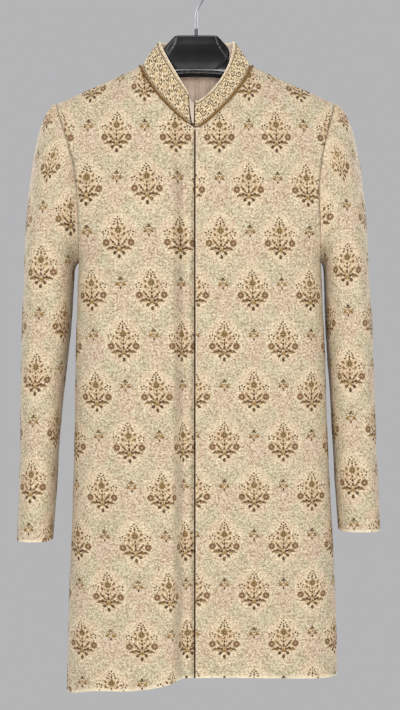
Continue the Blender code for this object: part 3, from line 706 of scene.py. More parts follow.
# %% Pattern raster
class Raster:
    """Points and normals of a cloth on an even raster of its pattern coordinates."""

    STEP = 0.002

    def __init__(self, cloth):
        u, v = cloth.pattern[..., 0], cloth.pattern[..., 1]
        self.low = np.array((u.min(), v.min()))
        across = np.arange(u.min(), u.max() + self.STEP, self.STEP)
        up = np.arange(v.min(), v.max() + self.STEP, self.STEP)
        fields = np.concatenate((cloth.grid, cloth.normals, u[..., None]), axis=-1)
        columns = [np.column_stack([np.interp(up, v[:, c], fields[:, c, k])
                                    for k in range(7)]) for c in range(u.shape[1])]
        covered = [(up >= v[0, c]) & (up <= v[-1, c]) for c in range(u.shape[1])]
        middle, covered = np.stack(columns, axis=1), np.stack(covered, axis=1).astype(float)
        self.fields, self.inside = [], []
        for row, cover in zip(middle, covered):
            self.fields.append(np.column_stack([np.interp(across, row[:, 6], row[:, k])
                                                for k in range(6)]))
            cover = np.interp(across, row[:, 6], cover)
            self.inside.append((cover > 0.99) & (across >= row[0, 6]) & (across <= row[-1, 6]))
        self.fields, self.inside = np.array(self.fields), np.array(self.inside)

    def cells(self, places):
        """The cell that holds each place, and the place's shares across it."""
        at = (places - self.low) / self.STEP
        limit = np.array(self.inside.shape[::-1]) - 1.001
        at = np.clip(at, 0.0, limit)
        return at.astype(int), at - at.astype(int)

    def holds(self, places):
        """Whether each place lies on the cloth."""
        whole, _ = self.cells(places)
        reach = self.low + np.array(self.inside.shape[::-1]) * self.STEP
        within = np.all((places >= self.low) & (places <= reach), axis=-1)
        return self.inside[whole[..., 1], whole[..., 0]] & within

    def lift(self, places, height):
        """Points on the hung cloth, raised along its normals: the weighted mean of the
        four raster points round each place."""
        whole, part = self.cells(places)
        x, y = whole[..., 0], whole[..., 1]
        s, t = part[..., 0, None], part[..., 1, None]
        low = self.fields[y, x] * (1 - s) + self.fields[y, x + 1] * s
        high = self.fields[y + 1, x] * (1 - s) + self.fields[y + 1, x + 1] * s
        found = low * (1 - t) + high * t
        return found[..., :3] + unit(found[..., 3:]) * np.asarray(height)[..., None]


rasters = {name: Raster(cloth) for name, cloth in cloths.items()}
print("raster cells:", {name: raster.inside.size for name, raster in rasters.items()})

# %% [markdown]
# ## One bouquet
# The bouquet is a small tree of flowers, taller than it is wide: a pointed spray on top, a
# rosette under it, two round flowers held out by leaves, and a foot of blobs. Each element is
# drawn once on one side and mirrored. Sizes are in millimetres here, because a few tenths
# matter; they become metres when the elements are built.

# %% Bouquet drawing
BEAD, PETAL = 0, 1
DARK, BRONZE, MAUVE, OLIVE, GOLD, CREAM = 0.0, 0.25, 0.40, 0.55, 0.8, 1.0
MILLIMETRE = 0.001

# kind, x, z, half length, half width, turn, thread. Elements off the centre line are mirrored.
BOUQUET_SPRIGS = (
    (BEAD, 0.0, 30.6, 1.70, 1.70, 0, DARK),
    (BEAD, 3.2, 27.3, 1.70, 1.70, 0, DARK),
    (BEAD, 5.0, 23.6, 1.70, 1.60, 0, DARK),
    (BEAD, 0.0, 25.4, 1.40, 1.50, 0, BRONZE),
    (PETAL, 0.0, 21.6, 2.4, 1.80, 90, DARK),
    (PETAL, 6.3, 19.6, 2.4, 1.60, -25, DARK),
    (PETAL, 0.0, 17.4, 2.1, 1.30, 90, BRONZE),
    (PETAL, 9.5, 13.3, 3.3, 2.10, 50, BRONZE),
    (PETAL, 9.2, 4.9, 3.0, 2.40, 60, BRONZE),
    (PETAL, 5.4, 3.2, 2.0, 1.10, 120, OLIVE),
    (PETAL, 0.0, 2.0, 2.8, 1.80, 90, BRONZE),
    (PETAL, 3.6, -2.6, 2.2, 1.30, 60, OLIVE),
    (PETAL, 0.0, -4.2, 2.9, 2.00, 90, DARK),
    (PETAL, 0.0, -10.6, 3.4, 2.20, 90, DARK),
    (PETAL, 11.6, -3.8, 2.6, 1.90, 50, OLIVE),
    (PETAL, 8.9, -7.1, 2.7, 2.30, 46, DARK),
    (PETAL, 6.0, -10.6, 2.7, 2.00, 58, BRONZE),
    (PETAL, 2.9, -13.0, 2.0, 1.20, 62, OLIVE),
    (PETAL, 14.0, -16.2, 3.6, 2.90, 12, BRONZE),
    (PETAL, 17.8, -17.6, 2.3, 1.50, -14, OLIVE),
    (PETAL, 9.0, -15.0, 3.1, 2.80, 32, DARK),
    (PETAL, 9.8, -18.6, 2.5, 1.40, 4, GOLD),
    (PETAL, 4.3, -16.5, 3.0, 2.60, 28, DARK),
    (PETAL, 2.8, -20.5, 2.2, 1.40, 140, BRONZE),
    (PETAL, 18.9, -0.4, 2.1, 1.10, 90, BRONZE),
    (BEAD, 15.2, 8.0, 1.80, 1.80, 0, DARK),
    (BEAD, 19.0, 10.2, 1.80, 1.80, 0, DARK),
    (BEAD, 23.2, 8.4, 1.80, 1.80, 0, DARK),
    (BEAD, 22.4, 4.2, 1.55, 1.55, 0, DARK),
    (BEAD, 16.2, 4.0, 1.55, 1.55, 0, DARK),
    (BEAD, 19.1, 6.2, 1.00, 1.00, 0, CREAM),
    (PETAL, 6.6, -23.2, 3.7, 3.10, 138, DARK),
    (PETAL, 0.0, -28.9, 4.0, 3.00, 90, DARK),
)
# centre x and z, ring radius, first turn, last turn, count, then as above from kind on
BOUQUET_ROUNDS = (
    (0.0, 11.0, 3.5, 22, 338, 8, PETAL, 2.6, 1.70, OLIVE),
    (0.0, 11.0, 1.6, 0, 300, 6, BEAD, 0.95, 0.95, BRONZE),
    (0.0, 11.0, 0.0, 0, 0, 1, BEAD, 1.00, 1.00, GOLD),
    (19.3, -7.9, 3.9, 0, 320, 9, PETAL, 2.3, 1.75, BRONZE),
    (19.3, -7.9, 2.2, 20, 340, 7, PETAL, 1.4, 1.15, MAUVE),
    (19.3, -7.9, 0.0, 0, 0, 1, BEAD, 1.00, 1.00, CREAM),
    (0.0, -18.8, 2.5, 18, 306, 5, PETAL, 1.9, 1.30, GOLD),
    (0.0, -18.8, 0.0, 0, 0, 1, BEAD, 1.20, 1.20, DARK),
)
SPRIG_SPRIGS = (
    (PETAL, 0.0, 5.8, 2.6, 2.20, 90, DARK),
    (PETAL, 2.5, 4.0, 2.3, 1.10, 38, OLIVE),
    (PETAL, 3.3, 0.0, 2.3, 1.50, 10, GOLD),
    (PETAL, 4.9, -2.1, 2.5, 1.90, -28, BRONZE),
    (BEAD, 5.6, 1.4, 1.05, 1.05, 0, OLIVE),
    (PETAL, 1.9, -3.3, 1.9, 1.20, 122, GOLD),
    (BEAD, 0.0, 0.6, 1.35, 1.35, 0, MAUVE),
    (BEAD, 4.9, -2.1, 0.60, 0.60, 0, CREAM),
    (PETAL, 0.0, -6.6, 2.5, 1.50, 90, DARK),
)


def in_metres(rows):
    """Element rows with places and sizes in metres and turns in radians."""
    table = np.array(rows, float)
    table[:, 1:5] *= MILLIMETRE
    table[:, 5] = np.radians(table[:, 5])
    return table


def drawn(sprigs, rounds=()):
    """Element rows (kind, x, z, half length, half width, turn, thread) in metres and
    radians, with rounds spread on their circles and mirrored copies added."""
    rows = list(sprigs)
    for x, z, ring, first, last, count, kind, length, width, thread in rounds:
        for turn in np.linspace(first, last, count):
            out = math.radians(turn)
            place = x + ring * math.cos(out), z + ring * math.sin(out)
            rows.append((kind, *place, length, width, turn, thread, x))
    whole = []
    for row in rows:
        kind, x, z, length, width, turn, thread = row[:7]
        whole.append((kind, x, z, length, width, turn, thread))
        if (row[7] if len(row) > 7 else x) > 0:
            whole.append((kind, -x, z, length, width, 180 - turn, thread))
    return in_metres(whole)


BOUQUET = drawn(BOUQUET_SPRIGS, BOUQUET_ROUNDS)
SPRIG_SCALE, SPRIG_RISE = 1.15, 0.011
SPRIG = drawn(SPRIG_SPRIGS) * (1.0, *(SPRIG_SCALE,) * 4, 1.0, 1.0)
print("elements in a bouquet:", len(BOUQUET), "and in a sprig:", len(SPRIG))

# %% [markdown]
# ## Thread relief
# The woven thread stands a few tenths of a millimetre proud, and its edge is crisp. A bump
# could show that, but only real relief catches light from the side. So each element is a small
# closed lens: a rim in the cloth, a shoulder ring, and a crown. A bead has a rim and a crown
# only. All elements of one kind share one template and are placed as one array.


# %% Lens templates
def lens_template(points, rings, pointed):
    """Unit lens: each ring is (size, height); the last point is the crown, and a flat fan
    closes the underside. Pointed pulls the outline in towards a leaf's tips."""
    turn = np.linspace(0.0, 2 * math.pi, points, endpoint=False)
    outline = np.column_stack((np.cos(turn), np.sin(turn) * (1 - pointed * np.abs(np.cos(turn)))))
    shape = [np.column_stack((outline * size, np.full(points, height))) for size, height in rings]
    shape.append(np.array([(0.0, 0.0, 1.0)]))
    k, after = np.arange(points), (np.arange(points) + 1) % points
    faces = []
    for ring in range(len(rings) - 1):
        low, high = ring * points, (ring + 1) * points
        faces += [np.column_stack((low + k, low + after, high + after)),
                  np.column_stack((low + k, high + after, high + k))]
    last, crown = (len(rings) - 1) * points, len(rings) * points
    faces.append(np.column_stack((last + k, last + after, np.full(points, crown))))
    inner = np.arange(1, points - 1)
    faces.append(np.column_stack((np.zeros(points - 2, int), inner + 1, inner)))
    return np.vstack(shape), np.vstack(faces)


LENSES = {BEAD: lens_template(6, ((1.0, 0.0),), 0.0),
          PETAL: lens_template(6, ((1.0, 0.0), (0.62, 0.85)), 0.10)}
# An element sinks into the cloth a little, and stands as high as a share of its half width
RELIEF_SINK, RELIEF_SHARE, RELIEF_LIMIT = 0.00008, 0.42, 0.00055


def place_elements(elements, origins):
    """Flat points, heights, faces, threads and stitch coordinates of every element at every
    origin. A template is scaled, turned by (cos, -sin; sin, cos) and moved."""
    parts = []
    for kind, (shape, faces) in LENSES.items():
        rows = elements[elements[:, 0] == kind]
        if not len(rows):
            continue
        stitch = shape[None, :, :2] * rows[:, None, 3:5]
        cos, sin = np.cos(rows[:, 5])[:, None], np.sin(rows[:, 5])[:, None]
        flat = np.stack((stitch[..., 0] * cos - stitch[..., 1] * sin,
                         stitch[..., 0] * sin + stitch[..., 1] * cos), axis=-1)
        flat = flat + rows[:, None, 1:3]
        proud = np.minimum(rows[:, 4] * RELIEF_SHARE, RELIEF_LIMIT)[:, None] * shape[None, :, 2]
        centres = origins[:, None] + rows[None, :, 1:3]
        flat = origins[:, None, None] + flat[None]
        copies = (len(origins), 1, 1)
        parts.append(dict(
            flat=flat.reshape(-1, len(shape), 2), centre=centres.reshape(-1, 2),
            proud=np.tile(proud[None], copies).reshape(-1, len(shape)),
            stitch=np.tile(stitch[None], copies + (1,)).reshape(-1, len(shape), 2),
            thread=np.tile(rows[None, :, 6], (len(origins), 1)).reshape(-1), faces=faces))
    return parts


def relief_piece(name, surface, groups, base, materials):
    """One mesh of all the elements whose centres lie on the surface."""
    points, faces, threads, stitches, count = [], [], [], [], 0
    for part in (part for group in groups for part in place_elements(*group)):
        keep = surface.holds(part["centre"])
        flat, proud = part["flat"][keep], part["proud"][keep]
        number, corners = flat.shape[:2]
        points.append(surface.lift(flat, base - RELIEF_SINK + proud).reshape(-1, 3))
        offsets = count + np.arange(number)[:, None, None] * corners
        faces.append((part["faces"][None] + offsets).reshape(-1, 3))
        threads.append(np.repeat(part["thread"][keep], corners))
        stitches.append(part["stitch"][keep].reshape(-1, 2))
        count += number * corners
    faces = np.vstack(faces)
    piece = finish_mesh(name, np.vstack(points), faces, materials)
    set_field(piece, "thread", np.concatenate(threads))
    set_uv(piece, "stitch", np.vstack(stitches)[faces.ravel()])
    print(name, len(faces), "triangles")
    return piece


def lattice_origins(raster, shift):
    """Places of the half drop's points that can touch the cloth. Shift 0 gives the
    bouquets' places, shift 1 those of the sprigs between them."""
    reach = raster.low + np.array(raster.inside.shape[::-1]) * raster.STEP
    first = np.floor(raster.low / (PITCH / 2, ROW_PITCH)).astype(int) - 1
    last = np.ceil(reach / (PITCH / 2, ROW_PITCH)).astype(int) + 1
    column, row = np.meshgrid(np.arange(first[0], last[0] + 1), np.arange(first[1], last[1] + 1))
    chosen = (column + row + shift) % 2 == 0
    return np.column_stack((column[chosen] * PITCH / 2, row[chosen] * ROW_PITCH))


print("triangles in a bead and a petal:", [len(faces) for _, faces in LENSES.values()])

# %% [markdown]
# ## Small tools for node trees
# Every finish below is a graph of nodes. Most of these helpers make one node and return its
# output, so that a finish reads like a formula. `emboss` ends in the finish's normals.


# %% Node helpers
def connect(tree, socket, value):
    """Links an output to the socket, or sets the socket's own value."""
    if isinstance(value, bpy.types.NodeSocket):
        tree.links.new(value, socket)
    else:
        socket.default_value = value


def add_node(tree, kind, values=(), **settings):
    """A node with its settings and its input values. Returns its outputs."""
    node = tree.nodes.new("ShaderNode" + kind)
    for label, setting in settings.items():
        setattr(node, label, setting)
    for socket, value in values:
        connect(tree, node.inputs[socket], value)
    return node.outputs


def calc(tree, operation, *values):
    """One step of arithmetic."""
    return add_node(tree, "Math", enumerate(values), operation=operation)[0]


def times(tree, value, share):
    """A value and its share multiplied."""
    return calc(tree, "MULTIPLY", value, share)


def rest_of(tree, share):
    """1 less the share."""
    return calc(tree, "SUBTRACT", 1.0, share)


def vector_calc(tree, operation, *values):
    """One step of vector arithmetic; a length or distance comes out as a number."""
    outputs = add_node(tree, "VectorMath", enumerate(values), operation=operation)
    return outputs["Value" if operation in ("LENGTH", "DISTANCE") else 0]


def soft_step(tree, value, start, end):
    """0 at start, 1 at end, with a soft step between them."""
    return add_node(tree, "MapRange", (("Value", value), ("From Min", start), ("From Max", end)),
                    interpolation_type="SMOOTHSTEP")[0]


def blend_colour(tree, share, first, second):
    """The first colour with a share of the second mixed in; 6 and 7 are the node's
    colour inputs."""
    return add_node(tree, "Mix", ((0, share), (6, first), (7, second)), data_type="RGBA")[2]


def dyed(tree, colour, layers):
    """A colour with layers over it: each is a mask, its strength and its own colour."""
    for mask, strength, tone in layers:
        colour = blend_colour(tree, times(tree, mask, strength), colour, tone)
    return colour


def weighted_sum(tree, start, *terms):
    """The start plus value * weight for each term."""
    for value, weight in terms:
        start = calc(tree, "ADD", start, times(tree, value, weight))
    return start


def noise(tree, place, scale, detail=2.0, roughness=0.5, output=0):
    """Soft noise from 0 to 1. Its Color output is three such numbers."""
    return add_node(tree, "TexNoise", (("Vector", place), ("Scale", scale), ("Detail", detail),
                                       ("Roughness", roughness)))[output]


def split(tree, vector):
    """X and Y of a place."""
    return add_node(tree, "SeparateXYZ", ((0, vector),))[:2]


def join(tree, x, y):
    """A place from X and Y."""
    return add_node(tree, "CombineXYZ", ((0, x), (1, y)))[0]


def ramp(tree, share, stops):
    """Colours along a scale from 0 to 1."""
    node = tree.nodes.new("ShaderNodeValToRGB")
    while len(node.color_ramp.elements) < len(stops):
        node.color_ramp.elements.new(1.0)
    for element, (position, colour) in zip(node.color_ramp.elements, stops):
        element.position, element.color = position, colour
    connect(tree, node.inputs[0], share)
    return node.outputs[0]


def uv_place(tree, name):
    """The place on a UV map."""
    return add_node(tree, "UVMap", uv_map=name)[0]


def object_place(tree):
    """The place on the piece itself, in metres."""
    return add_node(tree, "TexCoord")["Object"]


def field(tree, name):
    """A number that the mesh carries on its points."""
    return add_node(tree, "Attribute", attribute_name=name)["Fac"]


def emboss(tree, shader, height, distance, strength):
    """Tilts a finish's normals by a height of so many metres."""
    connect(tree, shader["Normal"], add_node(tree, "Bump", (
        ("Height", height), ("Distance", distance), ("Strength", strength)))[0])


def dye(red, green, blue):
    """A colour as a dyer's swatch is written, 0 to 255, made linear for the shader."""
    share = np.array((red, green, blue)) / 255.0
    linear = np.where(share <= 0.04045, share / 12.92, ((share + 0.055) / 1.055) ** 2.4)
    return (*(float(value) for value in linear), 1.0)


def new_group(name, inputs, outputs):
    """An empty node group with its sockets. Returns it with its input and output sides."""
    group = bpy.data.node_groups.new(name, "ShaderNodeTree")
    for label, kind, default in inputs:
        socket = group.interface.new_socket(label, in_out="INPUT", socket_type=kind)
        socket.default_value = default
    for label, kind in outputs:
        group.interface.new_socket(label, in_out="OUTPUT", socket_type=kind)
    source = group.nodes.new("NodeGroupInput").outputs
    return group, source, group.nodes.new("NodeGroupOutput").inputs


def use_group(tree, group, **values):
    """A copy of the group in a tree, its inputs given by name."""
    return add_node(tree, "Group", values.items(), node_tree=group)


def new_material(name, **settings):
    """A Principled material with its plain values set on the shader's own sockets."""
    material = bpy.data.materials.new(name)
    material.use_nodes = True
    shader = material.node_tree.nodes["Principled BSDF"]
    for label, value in settings.items():
        shader.inputs[label.replace("_", " ")].default_value = value
    return material, material.node_tree, shader.inputs


VECTOR, NUMBER = "NodeSocketVector", "NodeSocketFloat"
ORIGIN = (0.0, 0.0, 0.0)

# %% [markdown]
# ## Shared effects
# Weave, stitches and wear turn up in several finishes, so each is a node group. A weave is two
# sets of ridges, one for the warp and one for the weft, that take turns on top. Stitches are
# ridges across a thread. Wear is a pair of soft masks, one broad and one fine.


# %% Weave, stitches and wear
def make_weave():
    """Height |sin| of the warp or the weft, whichever is on top, and a tone per yarn."""
    tree, source, result = new_group(
        "plain weave", (("Place", VECTOR, ORIGIN), ("Pitch", NUMBER, 0.001)),
        (("Height", NUMBER), ("Yarn", NUMBER)))
    x, y = split(tree, source["Place"])
    x, y = calc(tree, "DIVIDE", x, source["Pitch"]), calc(tree, "DIVIDE", y, source["Pitch"])
    warp = calc(tree, "SINE", times(tree, x, math.pi))
    weft = calc(tree, "SINE", times(tree, y, math.pi))
    over = calc(tree, "GREATER_THAN", times(tree, warp, weft), 0.0)
    under = rest_of(tree, over)
    warp_tone = noise(tree, join(tree, x, times(tree, y, 0.05)), 1.0, 1.0)
    weft_tone = noise(tree, join(tree, times(tree, x, 0.05), y), 1.0, 1.0)
    warp, weft = calc(tree, "ABSOLUTE", warp), calc(tree, "ABSOLUTE", weft)
    for label, first, second in (("Height", warp, weft), ("Yarn", warp_tone, weft_tone)):
        connect(tree, result[label], weighted_sum(tree, times(tree, first, over),
                                                  (second, under)))
    return tree


def make_stitches():
    """Ridges across a thread: |sin| along X, a little uneven. The uneven ridge, Shade, is what
    the finishes use to paint shade in the furrows.
    """
    tree, source, result = new_group(
        "stitches", (("Place", VECTOR, ORIGIN), ("Pitch", NUMBER, 0.0004)),
        (("Height", NUMBER), ("Shade", NUMBER)))
    uneven = noise(tree, source["Place"], 900.0, 1.0)
    x, _ = split(tree, source["Place"])
    turns = weighted_sum(tree, calc(tree, "DIVIDE", x, source["Pitch"]), (uneven, 0.6))
    ridge = calc(tree, "ABSOLUTE", calc(tree, "SINE", times(tree, turns, math.pi)))
    connect(tree, result["Height"], ridge)
    connect(tree, result["Shade"], times(tree, ridge, uneven))
    return tree


def make_wear():
    """A broad smudge mask and a fine scuff mask from two noises."""
    tree, source, result = new_group(
        "wear", (("Place", VECTOR, ORIGIN), ("Breadth", NUMBER, 12.0)),
        (("Smudge", NUMBER), ("Scuff", NUMBER)))
    broad = noise(tree, source["Place"], source["Breadth"], 4.0)
    fine = noise(tree, source["Place"], times(tree, source["Breadth"], 26.0), 3.0, 0.7)
    connect(tree, result["Smudge"], soft_step(tree, broad, 0.42, 0.72))
    connect(tree, result["Scuff"], soft_step(tree, fine, 0.60, 0.74))
    return tree


WEAVE, STITCHES, WEAR = make_weave(), make_stitches(), make_wear()
print("groups:", [group.name for group in bpy.data.node_groups])

# %% [markdown]
# ## The woven ground
# Between the bouquets the brocade is woven in its own tone: a net of pointed ovals runs round
# the bouquets, |x| = p/4 (1 + cos(pi y / q)), with curled leaves along it. Inside each oval the
# ground is cream, and under each sprig it blushes. The pattern is worked out in the shader
# from the cloth's place on the roll, so it follows the cloth wherever it hangs.

# %% Half drop and scrolls
# Curl centres and radii beside a bouquet, in metres from its middle, mirrored left and right
CURLS = ((0.0310, 0.0170, 0.0072), (0.0345, -0.0140, 0.0066), (0.0235, 0.0345, 0.0064),
         (0.0215, -0.0365, 0.0070), (0.0085, 0.0465, 0.0056), (0.0095, -0.0450, 0.0060),
         (0.0410, 0.0020, 0.0046))
LINE, CONTOUR = 0.0008, 0.20
# A slow noise shakes the whole drawing; a finer one breaks its lines
SHAKE_SCALE, SHAKE_REACH, GAP_SCALE = 42.0, 0.0080, 130.0
# Distances from its line or middle at which each mask begins and is full
BAND_EDGE, BLUSH_EDGE = (0.0170, 0.0070), (0.0230, 0.0120)
OVAL_EDGE, FILL_EDGE = (0.0320, 0.0240), (0.0200, 0.0110)
# Where the oval and the blush lie up the cloth, and their width as a share of their height
OVAL_RISE, OVAL_SHARE, BLUSH_RISE, BLUSH_SHARE = 0.001, 0.80, -0.012, 0.72


def make_half_drop():
    """Place from the nearest point of the half drop. Two plain lattices are folded by
    wrapping; the diamond |x| 2/p + |y|/q < 1 says which of them is nearer."""
    tree, source, result = new_group(
        "half drop", (("Place", VECTOR, ORIGIN),), (("Local", VECTOR),))
    x, y = split(tree, source["Place"])

    def wrapped(value, shift, half):
        """The shifted value folded to lie between -half and half."""
        return calc(tree, "WRAP", calc(tree, "SUBTRACT", value, shift), half, -half)

    first = wrapped(x, 0.0, PITCH / 2), wrapped(y, 0.0, ROW_PITCH)
    second = wrapped(x, PITCH / 2, PITCH / 2), wrapped(y, ROW_PITCH, ROW_PITCH)
    reach = calc(tree, "ADD", calc(tree, "DIVIDE", calc(tree, "ABSOLUTE", first[0]), PITCH / 2),
                 calc(tree, "DIVIDE", calc(tree, "ABSOLUTE", first[1]), ROW_PITCH))
    far = calc(tree, "GREATER_THAN", reach, 1.0)
    local = [calc(tree, "ADD", a, times(tree, far, calc(tree, "SUBTRACT", b, a)))
             for a, b in zip(first, second)]
    connect(tree, result["Local"], join(tree, *local))
    return tree


def make_woven_ground(half_drop):
    """Masks of the ground: the net's band, the light oval round a bouquet, the warm fill
    inside it, the blush, the raised lines, and the contours of a soft noise as foliage."""
    tree, source, result = new_group(
        "woven ground", (("Place", VECTOR, ORIGIN),),
        (("Band", NUMBER), ("Oval", NUMBER), ("Fill", NUMBER), ("Blush", NUMBER),
         ("Lines", NUMBER), ("Leaves", NUMBER)))

    def length(vector, share):
        """Length of a vector whose height is scaled to a share."""
        scaled = vector_calc(tree, "MULTIPLY", vector, (1.0, share, 0.0))
        return vector_calc(tree, "LENGTH", scaled)

    shake = noise(tree, source["Place"], SHAKE_SCALE, output="Color")
    shake = vector_calc(tree, "MULTIPLY", vector_calc(tree, "SUBTRACT", shake, (0.5,) * 3),
                        (SHAKE_REACH, SHAKE_REACH, 0.0))
    place = vector_calc(tree, "ADD", source["Place"], shake)
    local = use_group(tree, half_drop, Place=place)["Local"]
    x, y = split(tree, local)
    x = calc(tree, "ABSOLUTE", x)
    swing = calc(tree, "COSINE", times(tree, y, math.pi / ROW_PITCH))
    net = times(tree, calc(tree, "ADD", swing, 1.0), PITCH / 4)
    aside = times(tree, calc(tree, "ABSOLUTE", calc(tree, "SUBTRACT", x, net)), 0.8)
    connect(tree, result["Band"], soft_step(tree, aside, *BAND_EDGE))
    round_it = length(join(tree, x, calc(tree, "SUBTRACT", y, OVAL_RISE)), OVAL_SHARE)
    connect(tree, result["Oval"], soft_step(tree, round_it, *OVAL_EDGE))
    connect(tree, result["Fill"], soft_step(tree, round_it, *FILL_EDGE))
    sprig = use_group(tree, half_drop, Place=vector_calc(
        tree, "SUBTRACT", place, (PITCH / 2, BLUSH_RISE, 0.0)))["Local"]
    connect(tree, result["Blush"], soft_step(tree, length(sprig, BLUSH_SHARE), *BLUSH_EDGE))
    folded = join(tree, x, y)
    gaps = soft_step(tree, noise(tree, place, GAP_SCALE), 0.44, 0.56)
    lines = times(tree, soft_step(tree, aside, 2 * LINE, LINE), gaps)
    for centre_x, centre_y, radius in CURLS:
        away = vector_calc(tree, "DISTANCE", folded, (centre_x, centre_y, 0.0))
        rings = soft_step(tree, calc(tree, "PINGPONG", away, radius / 4), 1.6 * LINE, LINE * 0.7)
        rings = times(tree, rings, soft_step(tree, away, radius + LINE, radius - LINE))
        lines = calc(tree, "MAXIMUM", lines, times(tree, rings, gaps))
    connect(tree, result["Lines"], lines)
    grain = vector_calc(tree, "MULTIPLY", place, (1.0, 1.35, 0.0))
    contour = calc(tree, "PINGPONG", noise(tree, grain, 120.0, 2.0, 0.6), CONTOUR / 2)
    connect(tree, result["Leaves"], calc(tree, "DIVIDE", contour, CONTOUR / 2))
    return tree


WOVEN_GROUND = make_woven_ground(make_half_drop())
print("masks of the ground:", ", ".join(
    item.name for item in WOVEN_GROUND.interface.items_tree if item.in_out == "OUTPUT"))

# %% [markdown]
# ## The brocade
# Silk brocade is ivory with a grey-green shimmer where the net runs, blushes to rose under the
# sprigs, and is flecked all over by its uneven yarns. Its turned edges catch the light, so the
# mesh carries an "edge" field that lightens them.

# %% Brocade finish
IVORY, SAGE, BLUSH = dye(214, 194, 162), dye(178, 170, 134), dye(202, 168, 144)
PEACH, HALO = dye(210, 173, 131), dye(223, 204, 169)
# The pale yarn's colour also paints the highlight on the turned edges
SHADOW_YARN, LIGHT_YARN_AND_EDGE_HIGHLIGHT = dye(134, 110, 76), dye(253, 241, 213)
# Painted shade for the furrows between stitches, and a painted glint for patches of the gold
THREAD_SHADE, THREAD_GLINT = dye(62, 40, 22), dye(196, 150, 76)


def make_brocade():
    """Ivory silk dyed layer by layer: broad tints from the ground's masks first, then the
    foliage, the dark and light flecks of its yarns and the raised lines. Last comes a painted
    highlight, where the edges catch the light."""
    material, tree, shader = new_material(
        "ivory brocade", Sheen_Weight=0.15, Sheen_Roughness=0.45, Specular_IOR_Level=0.35)
    place = uv_place(tree, "cloth")
    ground = use_group(tree, WOVEN_GROUND, Place=place)
    weave = use_group(tree, WEAVE, Place=place, Pitch=0.0011)
    patches = soft_step(tree, noise(tree, place, 34.0, 3.0), 0.40, 0.62)
    band = times(tree, ground["Band"], rest_of(tree, ground["Oval"]))
    outside = rest_of(tree, times(tree, ground["Oval"], 0.6))
    leaves = times(tree, soft_step(tree, ground["Leaves"], 0.55, 0.90), outside)
    strokes = times(tree, soft_step(tree, ground["Leaves"], 0.40, 0.15), outside)
    flecks = noise(tree, place, 300.0, 2.0, 0.65)
    light = calc(tree, "MAXIMUM", times(tree, ground["Lines"], 0.42),
                 times(tree, soft_step(tree, flecks, 0.53, 0.66), 0.74))
    light = calc(tree, "MAXIMUM", light, times(tree, strokes, 0.55))
    connect(tree, shader["Base Color"], dyed(tree, IVORY, (
        (band, 0.90, SAGE), (ground["Oval"], 0.75, HALO), (ground["Blush"], 0.75, BLUSH),
        (patches, 0.35, BLUSH), (ground["Fill"], 0.55, PEACH), (leaves, 0.34, SHADOW_YARN),
        (soft_step(tree, flecks, 0.50, 0.36), 0.66, SHADOW_YARN), (light, 1.0, LIGHT_YARN_AND_EDGE_HIGHLIGHT),
        (soft_step(tree, weave["Yarn"], 0.30, 0.60), 0.16, SHADOW_YARN),
        # Painted highlight: the edge field lightens the turned edges as if they caught the light
        (field(tree, "edge"), 0.55, LIGHT_YARN_AND_EDGE_HIGHLIGHT))))
    connect(tree, shader["Roughness"], weighted_sum(tree, 0.68, (ground["Lines"], -0.16)))
    relief = weighted_sum(tree, 0.0, (weave["Height"], 0.5), (ground["Lines"], 0.9),
                          (strokes, 0.8), (flecks, 1.2))
    emboss(tree, shader, relief, 0.00030, 0.9)
    return material


def make_satin(name, light, deep):
    """Lining satin: long floats of one yarn, a soft shine, and a deeper tone in patches."""
    material, tree, shader = new_material(
        name, Roughness=0.42, Sheen_Weight=0.15, Specular_IOR_Level=0.5)
    place = uv_place(tree, "cloth")
    weave = use_group(tree, WEAVE, Place=vector_calc(tree, "MULTIPLY", place, (1.0, 0.25, 0.0)),
                      Pitch=0.0006)
    patches = soft_step(tree, noise(tree, place, 14.0, 3.0), 0.35, 0.65)
    connect(tree, shader["Base Color"], dyed(tree, light, (
        (patches, 0.5, deep), (weave["Yarn"], 0.35, deep))))
    emboss(tree, shader, weave["Height"], 0.0001, 0.5)
    return material


def make_thread(name, stops, metallic, roughness, pitch=0.00042):
    """Metal-wrapped silk: its colour comes from the mesh's thread field, its ridges from
    the stitch map. Painted shade darkens the furrows between the stitches, and a painted glint
    brightens the gold in patches."""
    material, tree, shader = new_material(
        name, Metallic=metallic, Roughness=roughness, Specular_IOR_Level=0.5)
    stitches = use_group(tree, STITCHES, Place=uv_place(tree, "stitch"), Pitch=pitch)
    # Painted glint: noise patches where the gold is brightened as if it caught the light
    glint_patches = soft_step(tree, noise(tree, object_place(tree), 320.0, 2.0), 0.48, 0.66)
    connect(tree, shader["Base Color"], dyed(tree, ramp(tree, field(tree, "thread"), stops), (
        # Painted shade in the furrows between the stitch ridges
        (rest_of(tree, stitches["Shade"]), 0.45, THREAD_SHADE),
        (glint_patches, 0.34, THREAD_GLINT))))
    emboss(tree, shader, stitches["Height"], 0.00012, 0.8)
    return material


BROCADE = make_brocade()
LINING = make_satin("rose satin", dye(252, 230, 210), dye(236, 206, 186))
ZARI_STOPS = ((0.0, dye(90, 60, 26)), (0.25, dye(132, 98, 56)), (0.40, dye(158, 118, 92)),
              (0.55, dye(136, 114, 58)), (0.8, dye(196, 158, 84)), (1.0, dye(236, 214, 184)))
ZARI = make_thread("zari thread", ZARI_STOPS, 0.20, 0.46)
print("finishes:", [material.name for material in (BROCADE, LINING, ZARI)])

# %% [markdown]
# ## The coat's five large pieces
# Each panel becomes a fine surface, and Solidify gives it a wall with brocade outside, and
# satin inside and on its edges. Its CAD node is hidden and stays for collision. The flowers of
# each panel are one piece of relief.


